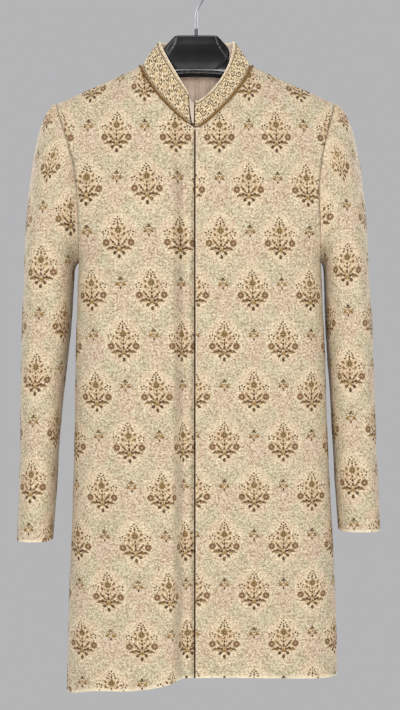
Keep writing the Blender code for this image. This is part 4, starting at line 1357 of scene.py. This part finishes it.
# %% Panels and their flowers
def edge_highlight_field(cloth):
    """Where the painted highlight lies: 1 on the hem or cuff, and 0.4 on the closing edge of
    the upper front, fading inwards.
    """
    rise = cloth.flat[..., 1] - cloth.flat[:1, :, 1]
    edge = ease(rise, 0.0045, 0.0015)
    if cloth.name == "front_left":
        edge = np.maximum(edge, 0.4 * ease(cloth.grid[..., 0] - CLOSING_X, 0.0026, 0.0008))
    return edge[:, :-1] if cloth.closed else edge


def build_panel(cloth):
    """A panel's cloth, and its bouquets and sprigs as one relief."""
    panel = grid_piece(f"{cloth.name}_cloth", cloth.grid, cloth.pattern, (BROCADE, LINING),
                       closed=cloth.closed)
    set_field(panel, "edge", edge_highlight_field(cloth))
    add_wall(panel, CLOTH_WALL, inner_material=1)
    raster = rasters[cloth.name]
    sprigs = lattice_origins(raster, 1) + (0.0, SPRIG_RISE)
    groups = ((BOUQUET, lattice_origins(raster, 0)), (SPRIG, sprigs))
    flowers = relief_piece(f"{cloth.name}_flowers", raster, groups, CLOTH_WALL / 2, (ZARI,))
    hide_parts(cloth.name)
    return panel, flowers


pieces = {name: build_panel(cloth) for name, cloth in cloths.items()}

# %% [markdown]
# ## Carrying a profile along a path
# Cord, piping and binding are each a round section carried along a path. A curve object with
# a bevel does the same, but arrays give its UV in metres. At each point the ring of the section
# lies in the plane of two directions square to the path.


# %% Sweeps
def square_to(path, reference):
    """Two directions square to a path at each point: the reference less its share along
    the path, and the one square to both."""
    tangent = unit(np.gradient(path, axis=0))
    reference = np.broadcast_to(reference, path.shape)
    side = unit(reference - tangent * np.sum(reference * tangent, axis=1)[:, None])
    return side, np.cross(tangent, side)


def sweep(path, reference, radius, sides):
    """Grid of rings along a path: side * cos + other * sin, times the radius."""
    side, other = square_to(path, reference)
    turn = np.linspace(0.0, 2 * math.pi, sides + 1)
    radius = np.broadcast_to(radius, len(path))[:, None, None]
    ring = side[:, None] * np.cos(turn)[:, None] + other[:, None] * np.sin(turn)[:, None]
    return path[:, None] + ring * radius


def closed_ends(path, radius):
    """A path and radii whose first and last points are doubled with radius 0."""
    radius = np.broadcast_to(radius, len(path))
    nudge = np.linalg.norm(path[1] - path[0]) * 1e-3
    first = path[0] - unit(path[1] - path[0]) * nudge
    last = path[-1] + unit(path[-1] - path[-2]) * nudge
    return np.vstack((first, path, last)), np.concatenate(([0.0], radius, [0.0]))


def run_uv(grid):
    """UV in metres of a swept grid: the run along it and the way round it."""
    run = run_length(grid.mean(axis=1))
    round_it = run_length(grid[len(grid) // 2])
    return np.stack(np.broadcast_arrays(run[:, None], round_it[None]), axis=-1)


def weld(piece):
    """Merges points that lie on each other, such as those of a pole, and turns the faces
    of the closed shell outwards."""
    work = bmesh.new()
    work.from_mesh(piece.data)
    bmesh.ops.remove_doubles(work, verts=work.verts, dist=1e-6)
    bmesh.ops.recalc_face_normals(work, faces=work.faces)
    work.to_mesh(piece.data)
    work.free()


def swept_piece(name, path, reference, radius, sides, material):
    """A closed round piece along a path."""
    path, radius = closed_ends(path, radius)
    grid = sweep(path, reference, radius, sides)
    piece = grid_piece(name, grid, run_uv(grid), (material,), "stitch", closed=True)
    weld(piece)
    return piece


def even_path(points, step):
    """Points at even steps along a path."""
    count = int(run_length(points)[-1] / step)
    return spaced(points, np.linspace(0.0, 1.0, count))


# %% [markdown]
# ## The stand collar
# The collar is a stiff band that leans in from the neck seam to its rim, a soft V from the
# front and level behind. It is covered with beadwork: scrolls of pearls and bugle beads,
# slanted rows along both edges, gold leaves between. A flat strip could be bent to it, but a
# ruled surface between foot and rim, slightly crowned, keeps both edges on their lines.

# %% Collar band
COLLAR_WALL, FACING_WALL = 0.0024, 0.0012
# Half width and bow of the rim on the wearer's right and left
COLLAR_HALF_WIDTHS, COLLAR_BOWS = (0.060, 0.062), (0.20, 0.70)
COLLAR_DEPTHS = (0.044, 0.040)
COLLAR_FRONT_HEIGHT, COLLAR_SIDE_HEIGHT, COLLAR_BACK_RISE = -0.213, -0.107, 0.004
COLLAR_LIFT, COLLAR_CROWN = 0.0022, 0.0015
# Where the band ends, in degrees from the throat: on the right at the foot and at the rim
COLLAR_LEFT_END, COLLAR_RIGHT_ENDS = -1.2, (5.5, 12.0)
COLLAR_WIDTH, COLLAR_TURN_IN = 0.0415, 0.004
COLLAR_COLUMNS, COLLAR_ROWS = 181, 15


def collar_base(turn, below=0.0):
    """The neck seam all round, or the cloth a little below it. Turn is 0 at the throat,
    positive towards the wearer's left, half a turn at the nape."""
    front = np.abs(turn) <= math.pi / 2
    near = np.where(front, np.abs(turn), math.pi - np.abs(turn))
    points = np.empty((len(turn), 3))
    for face, pick in ((-1, front), (1, ~front)):
        x, height = neckline(near[pick], face)
        angle = angle_at(x, height - below, 1, face)
        points[pick] = body_point(angle, height - below, 1, face)
    points[:, 0] *= np.where(turn < 0.0, -1.0, 1.0)
    return points


def collar_top(turn):
    """The rim: an ellipse from above, a V from the front and a little higher behind."""
    front = np.abs(turn) <= math.pi / 2
    x = np.where(turn < 0.0, *COLLAR_HALF_WIDTHS) * np.sin(turn)
    y = -np.cos(turn) * np.where(front, *COLLAR_DEPTHS)
    rise = (COLLAR_SIDE_HEIGHT - COLLAR_FRONT_HEIGHT) * v_rise(
        np.abs(np.sin(turn)), np.where(turn < 0.0, *COLLAR_BOWS))
    height = np.where(front, COLLAR_FRONT_HEIGHT + rise,
                      COLLAR_SIDE_HEIGHT + COLLAR_BACK_RISE * np.cos(turn) ** 2)
    return np.column_stack((x, y, height))


def signed_turn(degrees):
    """Degrees from 0 to 360 as radians from minus a half turn to a half turn."""
    return np.radians(np.where(degrees > 180.0, degrees - 360.0, degrees))


def band_grid(first, last, columns, low, high, inward=0.0):
    """Rows of the band from foot to rim. First and last are each end's turn at the foot and
    at the rim; low and high are lengths left out at the foot and the rim."""
    grid = []
    for up in np.linspace(0.0, 1.0, COLLAR_ROWS):
        start, end = (a + (b - a) * up for a, b in (first, last))
        turn = signed_turn(np.linspace(start, end, columns))
        foot, rim = collar_base(turn), collar_top(turn)
        length = np.linalg.norm(rim - foot, axis=1)[:, None]
        place = (low + (length - low - high) * up) / length
        out = unit(rim * (1.0, 1.0, 0.0))
        grid.append(foot + (rim - foot) * place + out * COLLAR_CROWN * math.sin(math.pi * up))
    grid = np.array(grid)
    return grid - grid_normals(grid) * inward


def band_cloth(name, grid, width=COLLAR_WIDTH):
    """The band as cloth: U is the length along its middle row, V its share of the width."""
    along = run_length(grid[len(grid) // 2])
    up = np.linspace(0.0, width, len(grid))
    flat = np.stack(np.broadcast_arrays(along[None], up[:, None]), axis=-1)
    return Cloth(name, grid, flat, flat)


LEFT_END = (COLLAR_LEFT_END,) * 2
RIGHT_END = tuple(360.0 - turn for turn in COLLAR_RIGHT_ENDS)
collar = band_cloth("collar", band_grid(LEFT_END, RIGHT_END, COLLAR_COLUMNS, COLLAR_LIFT, 0.0))
print("collar", np.round(collar.size, 3), "m long and high")

# %% [markdown]
# ## Beadwork on the collar
# The beadwork repeats along the band. One repeat holds two scrolls that turn opposite ways,
# gilt leaves and dark bugles between them, and two slanted rows of beads at foot and rim. Its
# sizes are in millimetres, as in the bouquet.

# %% Beadwork drawing
PEARL, JET, GILT, AMBER = 1.0, 0.0, 0.62, 0.30
REPEAT_LENGTH, REPEAT_SLANTS = 22.4, 6
# A scroll: its bugles, their size and lean, its sweep in degrees, and the pearls' place
SCROLL_BUGLES, BUGLE_SIZE, BUGLE_LEAN = 9, (2.25, 1.30), 12
SCROLL_START, SCROLL_SWEEP, PEARL_OUT, PEARL_TURN, PEARL_SIZE = 0.16, 430.0, 2.0, 0.35, 0.85


def scroll_rows(x, z, radius, spin, start):
    """A scroll of bugle beads along a spiral, r growing evenly with the turn, with pearls
    between its coils."""
    rows = []
    for k, share in enumerate(np.linspace(SCROLL_START, 1.0, SCROLL_BUGLES)):
        turn = start + spin * SCROLL_SWEEP * share
        along, out = math.radians(turn), radius * share
        place = x + out * math.cos(along), z + out * math.sin(along)
        rows.append((PETAL, *place, *BUGLE_SIZE, turn + 90 * spin + BUGLE_LEAN,
                     JET if k % 4 else AMBER))
        along, out = along + PEARL_TURN, out + PEARL_OUT
        place = x + out * math.cos(along), z + out * math.sin(along)
        rows.append((BEAD, *place, PEARL_SIZE, PEARL_SIZE, 0, PEARL))
    return rows


def collar_rows():
    """The elements of one repeat of the collar, in millimetres, x from 0 to the repeat."""
    rows = scroll_rows(5.8, 26.4, 6.0, 1, 20) + scroll_rows(16.8, 15.2, 6.0, -1, 200)
    for x, z, turn in ((14.6, 30.2, 58), (18.2, 32.0, 15), (17.4, 26.6, -28), (20.8, 29.0, 92),
                       (3.0, 13.0, 120), (6.8, 15.8, 64), (5.4, 9.8, -12), (9.2, 12.0, 24)):
        rows.append((PETAL, x, z, 2.3, 1.15, turn, GILT))
    for x, z, turn in ((12.8, 33.6, 40), (21.4, 33.8, -30), (12.6, 24.4, 80), (20.6, 23.4, 140),
                       (1.6, 19.0, 30), (9.4, 19.2, 110), (1.2, 8.4, -50), (11.6, 7.8, 60),
                       (0.4, 32.6, 70), (22.0, 8.0, 30), (13.2, 20.2, -60), (14.2, 4.8, 20)):
        rows.append((PETAL, x, z, 2.35, 1.25, turn, JET))
    for x, z in ((15.8, 28.4), (5.2, 12.8), (22.0, 19.4),
                 (11.0, 15.6), (0.2, 24.2), (10.2, 32.0)):
        rows.append((BEAD, x, z, 1.15, 1.15, 0, AMBER))
    for k in range(REPEAT_SLANTS):
        x = (k + 0.5) * REPEAT_LENGTH / REPEAT_SLANTS
        rows.append((PETAL, x, 37.2, 2.5, 1.25, 58, JET))
        rows.append((PETAL, x + 1.9, 36.6, 1.7, 0.80, 58, PEARL if k % 2 else GILT))
        rows.append((PETAL, x, 3.2, 2.1, 1.05, -58, JET if k % 2 else AMBER))
        rows.append((BEAD, x + 1.8, 3.6, PEARL_SIZE, PEARL_SIZE, 0, PEARL))
    return in_metres(rows)


def make_beaded_ground():
    """Collar ground: cream silk packed with gold thread in short slanted runs, with painted
    shade along the foot, where the band meets the coat.
    """
    material, tree, shader = new_material(
        "beaded ground", Roughness=0.55, Metallic=0.10, Sheen_Weight=0.10)
    place = uv_place(tree, "cloth")
    weave = use_group(tree, WEAVE, Place=place, Pitch=0.0009)
    runs = noise(tree, vector_calc(tree, "MULTIPLY", place, (1.0, 0.45, 0.0)), 620.0, 2.0, 0.6)
    _, rise = split(tree, place)
    connect(tree, shader["Base Color"], dyed(tree, dye(206, 172, 118), (
        (soft_step(tree, runs, 0.36, 0.56), 1.0, dye(250, 234, 198)),
        (soft_step(tree, noise(tree, place, 240.0), 0.54, 0.66), 0.6, dye(120, 84, 44)),
        # Painted shade: darker towards the foot of the band, in the corner where it meets the coat
        (soft_step(tree, rise, 0.008, 0.001), 0.55, dye(150, 112, 58)))))
    relief = weighted_sum(tree, weave["Height"], (runs, 1.5))
    emboss(tree, shader, relief, 0.0003, 0.9)
    return material


BEAD_STOPS = ((0.0, dye(62, 40, 20)), (0.3, dye(136, 98, 50)), (0.62, dye(190, 158, 94)),
              (0.9, dye(250, 240, 214)))
BEADED_GROUND = make_beaded_ground()
BEADS = make_thread("collar beads", BEAD_STOPS, 0.15, 0.26, pitch=0.0009)
print("elements in a repeat of the beadwork:", len(collar_rows()))

# %% [markdown]
# ## The collar's pieces
# Cords and bindings are twisted silk: a pale binding rolls over the rim, and a dark cord closes
# each end of the band. Their strands are too fine to model, so ridges in the finish stand in,
# with painted shade in the furrows between them.


# %% Collar pieces
def make_cord_finish(name, light, deep, pitch=0.0008):
    """Twisted silk: fine ridges across the strand, with painted shade in the deep tone between
    them.
    """
    material, tree, shader = new_material(name, Roughness=0.65, Specular_IOR_Level=0.15)
    stitches = use_group(tree, STITCHES, Place=uv_place(tree, "stitch"), Pitch=pitch)
    furrow_shade = rest_of(tree, stitches["Height"])
    # Painted shade: the deep tone fills the furrows between the ridges
    connect(tree, shader["Base Color"], dyed(tree, light, ((furrow_shade, 0.8, deep),)))
    emboss(tree, shader, stitches["Height"], 0.00015, 0.8)
    return material


BINDING = make_cord_finish("cream binding", dye(246, 234, 208), dye(216, 196, 160))
BRONZE_CORD = make_cord_finish("bronze cord", dye(144, 108, 56), dye(48, 32, 14), 0.0012)
DARK_CORD = make_cord_finish("dark cord", dye(50, 28, 14), dye(22, 12, 6))


def build_collar():
    """The band with satin inside, its beadwork, the rim's binding and the ends' cords."""
    band = grid_piece("collar_band", collar.grid, collar.pattern, (BEADED_GROUND, LINING))
    add_wall(band, COLLAR_WALL, inner_material=1)
    repeat = REPEAT_LENGTH * MILLIMETRE
    repeats = np.arange(int(collar.size[0] / repeat) + 1) * repeat
    origins = np.column_stack((repeats, np.zeros(len(repeats))))
    beads = relief_piece("collar_beads", Raster(collar), ((collar_rows(), origins),),
                         COLLAR_WALL / 2, (BEADS,))
    edges = [swept_piece(name, even_path(rim, 0.0012), (0.0, 0.0, 1.0), radius, 10, material)
             for name, rim, radius, material in (
                 ("collar_binding", collar.grid[-1], 0.0011, BINDING),
                 ("collar_end_cord_1", collar.grid[:-1, 0], 0.0010, DARK_CORD),
                 ("collar_end_cord_2", collar.grid[:-1, -1], 0.0010, DARK_CORD))]
    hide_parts("collar")
    return band, beads, *edges


print("collar:", ", ".join(piece.name for piece in build_collar()))

# %% [markdown]
# ## Facing, slit strip and back lining
# Through the open neck the eye sees what the collar is lined with, a narrow strip behind its
# front slit, and the lining at the nape, which is laid in soft pleats. All three are the band's
# and the back's own grids moved inwards, so that they follow them.

# %% Inner cloth
FACING_FOOT, FACING_RIM, STRIP_RIM = 0.003, 0.001, 0.004
END_GAP, STRIP_GAP = 1.0, 0.9
LINING_ROWS, LINING_SPAN, LINING_COLUMNS = (0.42, 0.986), 13, 121
INNER_EDGE, NARROWEST_SHEET = 0.0009, 0.010
# Distance from the centre line and half width of each pleat
PLEATS = ((-0.036, 0.0050), (-0.017, 0.0036), (0.001, 0.0030), (0.019, 0.0034), (0.038, 0.0050))
PLEAT_DEPTH = 0.0048


def make_facing():
    """The band's inside layer, a little shorter than the band at both ends."""
    inset = (COLLAR_WALL + FACING_WALL) / 2 + SEAM_GAP
    first = (COLLAR_LEFT_END + END_GAP,) * 2
    last = tuple(turn - END_GAP for turn in RIGHT_END)
    return band_cloth("facing", band_grid(first, last, COLLAR_COLUMNS, COLLAR_LIFT + FACING_FOOT,
                                          FACING_RIM, inset))


def make_strip():
    """The narrow strip that fills the slit between the band's ends."""
    first = tuple(STRIP_GAP - turn for turn in COLLAR_RIGHT_ENDS)
    last = (COLLAR_LEFT_END - STRIP_GAP,) * 2
    return band_cloth("strip", band_grid(first, last, 9, COLLAR_LIFT + FACING_FOOT, STRIP_RIM,
                                         FACING_WALL / 2))


def make_back_lining():
    """The middle of the back's top rows, moved in, with pleats that stand inwards:
    depth * exp(-(x / width)^2) for each."""
    plain = back_grid(False)
    inner = plain - grid_normals(plain) * ((CLOTH_WALL + FACING_WALL) / 2 + SEAM_GAP)
    steps = cosine_steps(HIGH_ROWS)
    rows = np.flatnonzero((steps > LINING_ROWS[0]) & (steps < LINING_ROWS[1]))
    rows = rows + len(inner) - HIGH_ROWS
    middle = BACK_COLUMNS - 1
    low, high = inner[rows[0]], inner[rows[-1]]
    part = inner[rows][:, middle - LINING_SPAN:middle + LINING_SPAN + 1]
    share = np.linspace(0.0, part.shape[1] - 1.0, LINING_COLUMNS)
    whole = np.minimum(share.astype(int), part.shape[1] - 2)
    part = part[:, whole] + (part[:, whole + 1] - part[:, whole]) * (share - whole)[:, None]
    inward = sum(np.exp(-((part[..., 0] - x) / width) ** 2) for x, width in PLEATS)
    part[..., 1] -= PLEAT_DEPTH * inward
    return band_cloth("lining", part, float(np.linalg.norm(high[middle] - low[middle])))


def edge_binding(name, edge, material):
    """A narrow rolled binding along an edge of cloth."""
    path = even_path(edge, 0.0015)
    binding = swept_piece(name, path, (0.0, 0.0, 1.0), INNER_EDGE, 8, material)
    return binding


def build_inner_cloth():
    """The three inner pieces. The strip is bound on three sides, the others on top."""
    made = []
    for cloth, name, node, material in (
            (make_facing(), "collar_inside", "collar_facing", LINING),
            (make_strip(), "collar_strip", "collar_tab", STRIP_SATIN),
            (make_back_lining(), "neck_lining", "back_lining", LINING)):
        piece = grid_piece(name, cloth.grid, cloth.pattern, (material,))
        add_wall(piece, FACING_WALL)
        if name == "collar_strip":
            rim = np.vstack((cloth.grid[:0:-1, 0], cloth.grid[0, :-1], cloth.grid[:, -1]))
            edge = edge_binding("strip_binding", rim, DARK_CORD)
        else:
            edge = edge_binding(f"{name}_binding", cloth.grid[-1], BINDING)
        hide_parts(node)
        made.append(piece)
    return made


STRIP_SATIN = make_satin("grey rose satin", dye(204, 186, 166), dye(168, 148, 130))
print("inside the neck:", ", ".join(piece.name for piece in build_inner_cloth()))

# %% [markdown]
# ## Cord and piping
# The cord at the foot of the collar is three strands laid together. One ridged tube could
# stand for it, but strands show the lay in its outline too. Each strand's centre turns round
# the path, by 2 pi (run / lay + k / 3). A thin dark piping closes the front edge.

# %% Cord and piping
CORD_RADIUS, CORD_SIDE_LIFT, CORD_LAY = 0.0018, 0.0006, 0.0058
STRAND_SHARE = 1 / 2.155
# Where the cord starts and ends, in degrees round the neck from the throat
CORD_SPAN = (3.0, 351.0)
PIPING_RADIUS, PIPING_PROUD = 0.0011, 0.0011
PIPING_FOOT, PIPING_TOP = -1.1400, THROAT_HEIGHT - 0.004


def collar_cord_path():
    """A path in the corner between the band and the body, clear of both walls."""
    turn = signed_turn(np.linspace(*CORD_SPAN, 240))
    foot = collar_base(turn)
    run = np.gradient(foot, axis=0)
    band_normal = unit(np.cross(run, collar_top(turn) - foot))
    body_normal = unit(np.cross(collar_base(turn, below=0.004) - foot, run))
    middle = (band_normal + body_normal) / 2
    reach = COLLAR_WALL / 2 + CORD_RADIUS + SEAM_GAP + CORD_SIDE_LIFT * np.sin(turn) ** 8
    return foot + middle * (reach / np.sum(middle**2, axis=1))[:, None]


def build_cord():
    """Three strands, each a helix of the lay's pitch round the cord's path."""
    path = even_path(collar_cord_path(), 0.0007)
    side, other = square_to(path, unit(path * (1.0, 1.0, 0.0)))
    strand = CORD_RADIUS * STRAND_SHARE
    turns = 2 * math.pi * run_length(path) / CORD_LAY
    strands = []
    for k in range(3):
        turn = (turns + 2 * math.pi * k / 3)[:, None]
        centre = path + (side * np.cos(turn) + other * np.sin(turn)) * (CORD_RADIUS - strand)
        strands.append(swept_piece(f"cord_strand_{k + 1}", centre, (0.0, 0.0, 1.0), strand, 8,
                                   BRONZE_CORD))
        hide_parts("collar_cord")
    return strands


def build_piping():
    """A thin round edging in front of the closing edge."""
    height = np.linspace(PIPING_FOOT, PIPING_TOP, 420)
    edge = body_point(angle_at(np.full_like(height, CLOSING_X), height, 1, -1), height, 1, -1)
    edge[:, 0] = CLOSING_X - PIPING_RADIUS - SEAM_GAP
    edge[:, 1] -= PIPING_PROUD
    piping = swept_piece("front_edge_piping", edge, (1.0, 0.0, 0.0), PIPING_RADIUS, 8, DARK_CORD)
    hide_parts("front_piping")
    return piping


print("cord and piping:", ", ".join(piece.name for piece in (*build_cord(), build_piping())))

# %% [markdown]
# ## The hanger
# The hanger is one moulding of black plastic: two arms of rounded section, a neck block with a
# raised plain face that flares at its foot, and two grooves along the arch below it. The wire
# hook and its ferrule keep their CAD shapes and get a steel finish.

# %% Hanger finishes
def rub(tree, shader, breadth, clean, smudge, scuff):
    """Roughness: that of the clean surface, plus so much where it is smudged or scuffed."""
    wear = use_group(tree, WEAR, Place=object_place(tree), Breadth=breadth)
    connect(tree, shader["Roughness"], weighted_sum(
        tree, clean, (wear["Smudge"], smudge), (wear["Scuff"], scuff)))


def make_plastic():
    """Polished black plastic with faint smudges and fine scuffs, and a painted highlight in pale
    grey along the raised face's edge.
    """
    material, tree, shader = new_material("black plastic", Specular_IOR_Level=0.30)
    connect(tree, shader["Base Color"], dyed(tree, dye(14, 14, 16), (
        # Painted highlight: the rim field paints the face's edge pale grey
        (field(tree, "rim"), 0.85, dye(132, 132, 138)),)))
    rub(tree, shader, 14.0, 0.24, 0.10, 0.08)
    emboss(tree, shader, noise(tree, object_place(tree), 900.0, 2.0), 0.00003, 0.3)
    return material


def make_steel(name, tone):
    """Drawn steel, a little duller where hands have rubbed it."""
    material, tree, shader = new_material(name, Base_Color=tone, Metallic=1.0)
    rub(tree, shader, 40.0, 0.30, 0.10, 0.12)
    along = vector_calc(tree, "MULTIPLY", object_place(tree), (1.0, 1.0, 0.1))
    emboss(tree, shader, noise(tree, along, 1800.0, 1.0), 0.00002, 0.3)
    return material


PLASTIC = make_plastic()
STEEL = make_steel("steel wire", dye(112, 114, 118))
DARK_STEEL = make_steel("dark steel", dye(98, 98, 102))
print("hanger finishes:", [material.name for material in (PLASTIC, STEEL, DARK_STEEL)])

# %% [markdown]
# ## The hanger's shell
# Each arm is a row of oval rings whose top, bottom and depth follow a table. The neck block is
# a stack of level rings, and the raised plain face is a step in front of them, with a painted
# highlight along its edge.
# Boolean cuts would leave the grooves hard edged; dents in the rings stay soft as moulded ones.

# %% Hanger shell
# Distance from the middle, height of the top and of the bottom, half depth
HANGER_TABLE = np.array(((0.0, -0.1350, -0.1655, 0.0100), (0.030, -0.1350, -0.1663, 0.0100),
                         (0.050, -0.1352, -0.1688, 0.0100), (0.060, -0.1380, -0.1706, 0.0100),
                         (0.090, -0.1565, -0.1836, 0.0105), (0.130, -0.1750, -0.2030, 0.0130),
                         (0.170, -0.1930, -0.2210, 0.0155), (0.200, -0.2075, -0.2330, 0.0160),
                         (0.209, -0.2140, -0.2290, 0.0120)))
HANGER_POWER, NECK_POWER = 2.5, 5.0
ARM_RINGS, ARM_POINTS, NECK_RINGS, NECK_POINTS = 261, 112, 61, 220
# Two grooves, by their height over the bottom, that fade out along the arms
GROOVES, GROOVE_WIDTH, GROOVE_DEPTH = (0.0024, 0.0074), 0.0010, 0.0012
GROOVE_FADE = (0.052, 0.040)
# The neck block: heights, its half widths, those of its face, and its half depths
NECK_HEIGHTS = (-0.1550, -0.1400, -0.1290, -0.1210, -0.1140, -0.1070, -0.1020, -0.0979)
NECK_HALVES = (0.0400, 0.0525, 0.0550, 0.0542, 0.0500, 0.0436, 0.0390, 0.0345)
FACE_HALVES = (0.0430, 0.0530, 0.0462, 0.0405, 0.0362, 0.0338, 0.0325, 0.0315)
NECK_DEPTHS = (0.0102, 0.0104, 0.0098, 0.0086, 0.0080, 0.0080, 0.0080, 0.0080)
NECK_ROUND, FACE_PROUD, FACE_SLOPE, FACE_TOP = 0.0015, 0.0012, 0.0008, (0.0015, 0.0028)


def oval_ring(points, power):
    """Unit superellipse: |across|^n + |up|^n = 1 at every point."""
    turn = np.linspace(0.0, 2 * math.pi, points + 1)
    c, s = np.cos(turn), np.sin(turn)
    size = (np.abs(c) ** power + np.abs(s) ** power) ** (-1.0 / power)
    return c * size, s * size


def arm_grid():
    """Rings across the arms. A groove is a dent of exp(-(distance / width)^2) in front."""
    reach = HANGER_TABLE[-1, 0]
    x = np.linspace(-reach, reach, ARM_RINGS)
    round_end = np.sqrt(np.clip((reach - np.abs(x)) / NECK_ROUND, 0.0, 1.0))
    top, bottom, depth = (through(np.abs(x), HANGER_TABLE[:, 0], HANGER_TABLE[:, k])[:, None]
                          for k in (1, 2, 3))
    across, up = oval_ring(ARM_POINTS, HANGER_POWER)
    z = (top + bottom) / 2 + (top - bottom) / 2 * up * round_end[:, None]
    y = depth * across * round_end[:, None]
    fade = ease(np.abs(x), *GROOVE_FADE)[:, None]
    for lift in GROOVES:
        dent = np.exp(-((z - bottom - lift) / GROOVE_WIDTH) ** 2) * fade
        y = y + np.where(y < 0.0, GROOVE_DEPTH, 0.0) * dent
    return np.stack(np.broadcast_arrays(x[:, None], y, z), axis=-1)


def neck_grid():
    """Level rings of the neck block, rounded over at its top, with its face raised, and a rim
    field 4 r (1 - r) for the painted highlight, 1 half way up the face's edge."""
    z = np.linspace(NECK_HEIGHTS[0], NECK_HEIGHTS[-1], NECK_RINGS)
    z = np.concatenate((z, np.full(1, z[-1])))
    top = z[-1]
    inset = NECK_ROUND * (1 - np.sqrt(1 - np.clip(1 - (top - z) / NECK_ROUND, 0.0, 1.0) ** 2))
    inset[-1] = 1.0
    half = through(z, NECK_HEIGHTS, NECK_HALVES)
    face = through(z, NECK_HEIGHTS, FACE_HALVES)[:, None]
    across, up = oval_ring(NECK_POINTS, NECK_POWER)
    x = np.maximum(half - inset, 0.0)[:, None] * across
    y = np.maximum(through(z, NECK_HEIGHTS, NECK_DEPTHS) - inset, 0.0)[:, None] * up
    raised = (ease(np.abs(x) - face, FACE_SLOPE, -FACE_SLOPE) * (up < -0.5)
              * ease(top - z, *FACE_TOP)[:, None])
    # The painted highlight is strongest half way up the face's slope
    rim = 4 * raised * (1 - raised)
    return np.stack(np.broadcast_arrays(x, y - FACE_PROUD * raised, z[:, None]), axis=-1), rim


def build_hanger():
    """The arms and the neck block in plastic. The hook and its ferrule stay as they are."""
    shells = []
    arms, (block, rim) = arm_grid(), neck_grid()
    for name, grid, highlight_values, node in (
            ("hanger_arms", arms, np.zeros(arms.shape[:2]), "hanger_body"),
            ("hanger_block", block, rim, "hanger_neck")):
        shell = grid_piece(name, grid, run_uv(grid), (PLASTIC,), "skin", closed=True)
        set_field(shell, "rim", highlight_values[:, :-1])
        weld(shell)
        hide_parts(node)
        shells.append(shell)
    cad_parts["hook"].material_slots[0].material = STEEL
    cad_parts["hook_ferrule"].material_slots[0].material = DARK_STEEL
    return shells


print("hanger:", ", ".join(shell.name for shell in build_hanger()))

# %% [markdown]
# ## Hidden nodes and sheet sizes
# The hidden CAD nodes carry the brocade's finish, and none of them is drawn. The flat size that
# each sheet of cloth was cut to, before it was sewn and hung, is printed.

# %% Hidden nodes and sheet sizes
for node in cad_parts.values():
    for slot in node.material_slots:
        if node.hide_render:
            slot.material = BROCADE
print("sheets:", {name: [round(side, 3) for side in cloth.size] for name, cloth in cloths.items()})

# %% [markdown]
# ## Light, floor and backdrop
# Six soft lights: the key high on the left, a fill on the right, one in front at the hem's
# height, a small one on the neck, and a rim light behind each shoulder. The world is a pale
# even grey, which is also the backdrop.

# %% Studio
def add_light(name, place, target, size, power):
    """A rectangular light that looks at its target."""
    data = bpy.data.lights.new(name, "AREA")
    data.shape, data.size, data.size_y, data.energy = "RECTANGLE", *size, power
    lamp = bpy.data.objects.new(name, data)
    lamp.location = place
    towards = Vector(target) - Vector(place)
    lamp.rotation_euler = towards.to_track_quat("-Z", "Y").to_euler()
    bpy.context.collection.objects.link(lamp)


MIDDLE = (0.0, 0.0, -0.6)
BACKDROP, BACKDROP_STRENGTH = dye(236, 236, 238), 0.55
FLOOR_HEIGHT, FLOOR_HALF = -1.42, 0.8

# Name, place, target, width and height, power in watts
for light in (("key", (-1.5, -2.3, 1.2), MIDDLE, (0.9, 1.2), 29),
              ("fill", (1.9, -2.0, 0.1), MIDDLE, (1.6, 2.0), 15),
              ("front", (0.1, -3.0, -0.85), MIDDLE, (0.5, 0.5), 18),
              ("neck", (0.03, -2.7, -0.30), (0.0, 0.05, -0.20), (0.3, 0.3), 21),
              ("rim left", (-1.8, 1.8, 0.6), MIDDLE, (0.8, 1.6), 34),
              ("rim right", (1.8, 1.8, 0.6), MIDDLE, (0.8, 1.6), 34)):
    add_light(*light)

world = bpy.data.worlds.new("studio")
world.use_nodes = True
background = world.node_tree.nodes["Background"].inputs
background[0].default_value, background[1].default_value = BACKDROP, BACKDROP_STRENGTH
bpy.context.scene.world = world
bpy.context.scene.view_settings.view_transform = "Standard"

corners = [(x * FLOOR_HALF, y * FLOOR_HALF, FLOOR_HEIGHT)
           for x, y in ((-1, -1), (1, -1), (1, 1), (-1, 1))]
pale, _, _ = new_material("pale floor", Roughness=0.9, Base_Color=dye(226, 225, 222))
floor = finish_mesh("floor", corners, [(0, 1, 2, 3)], (pale,))
floor.parent = None
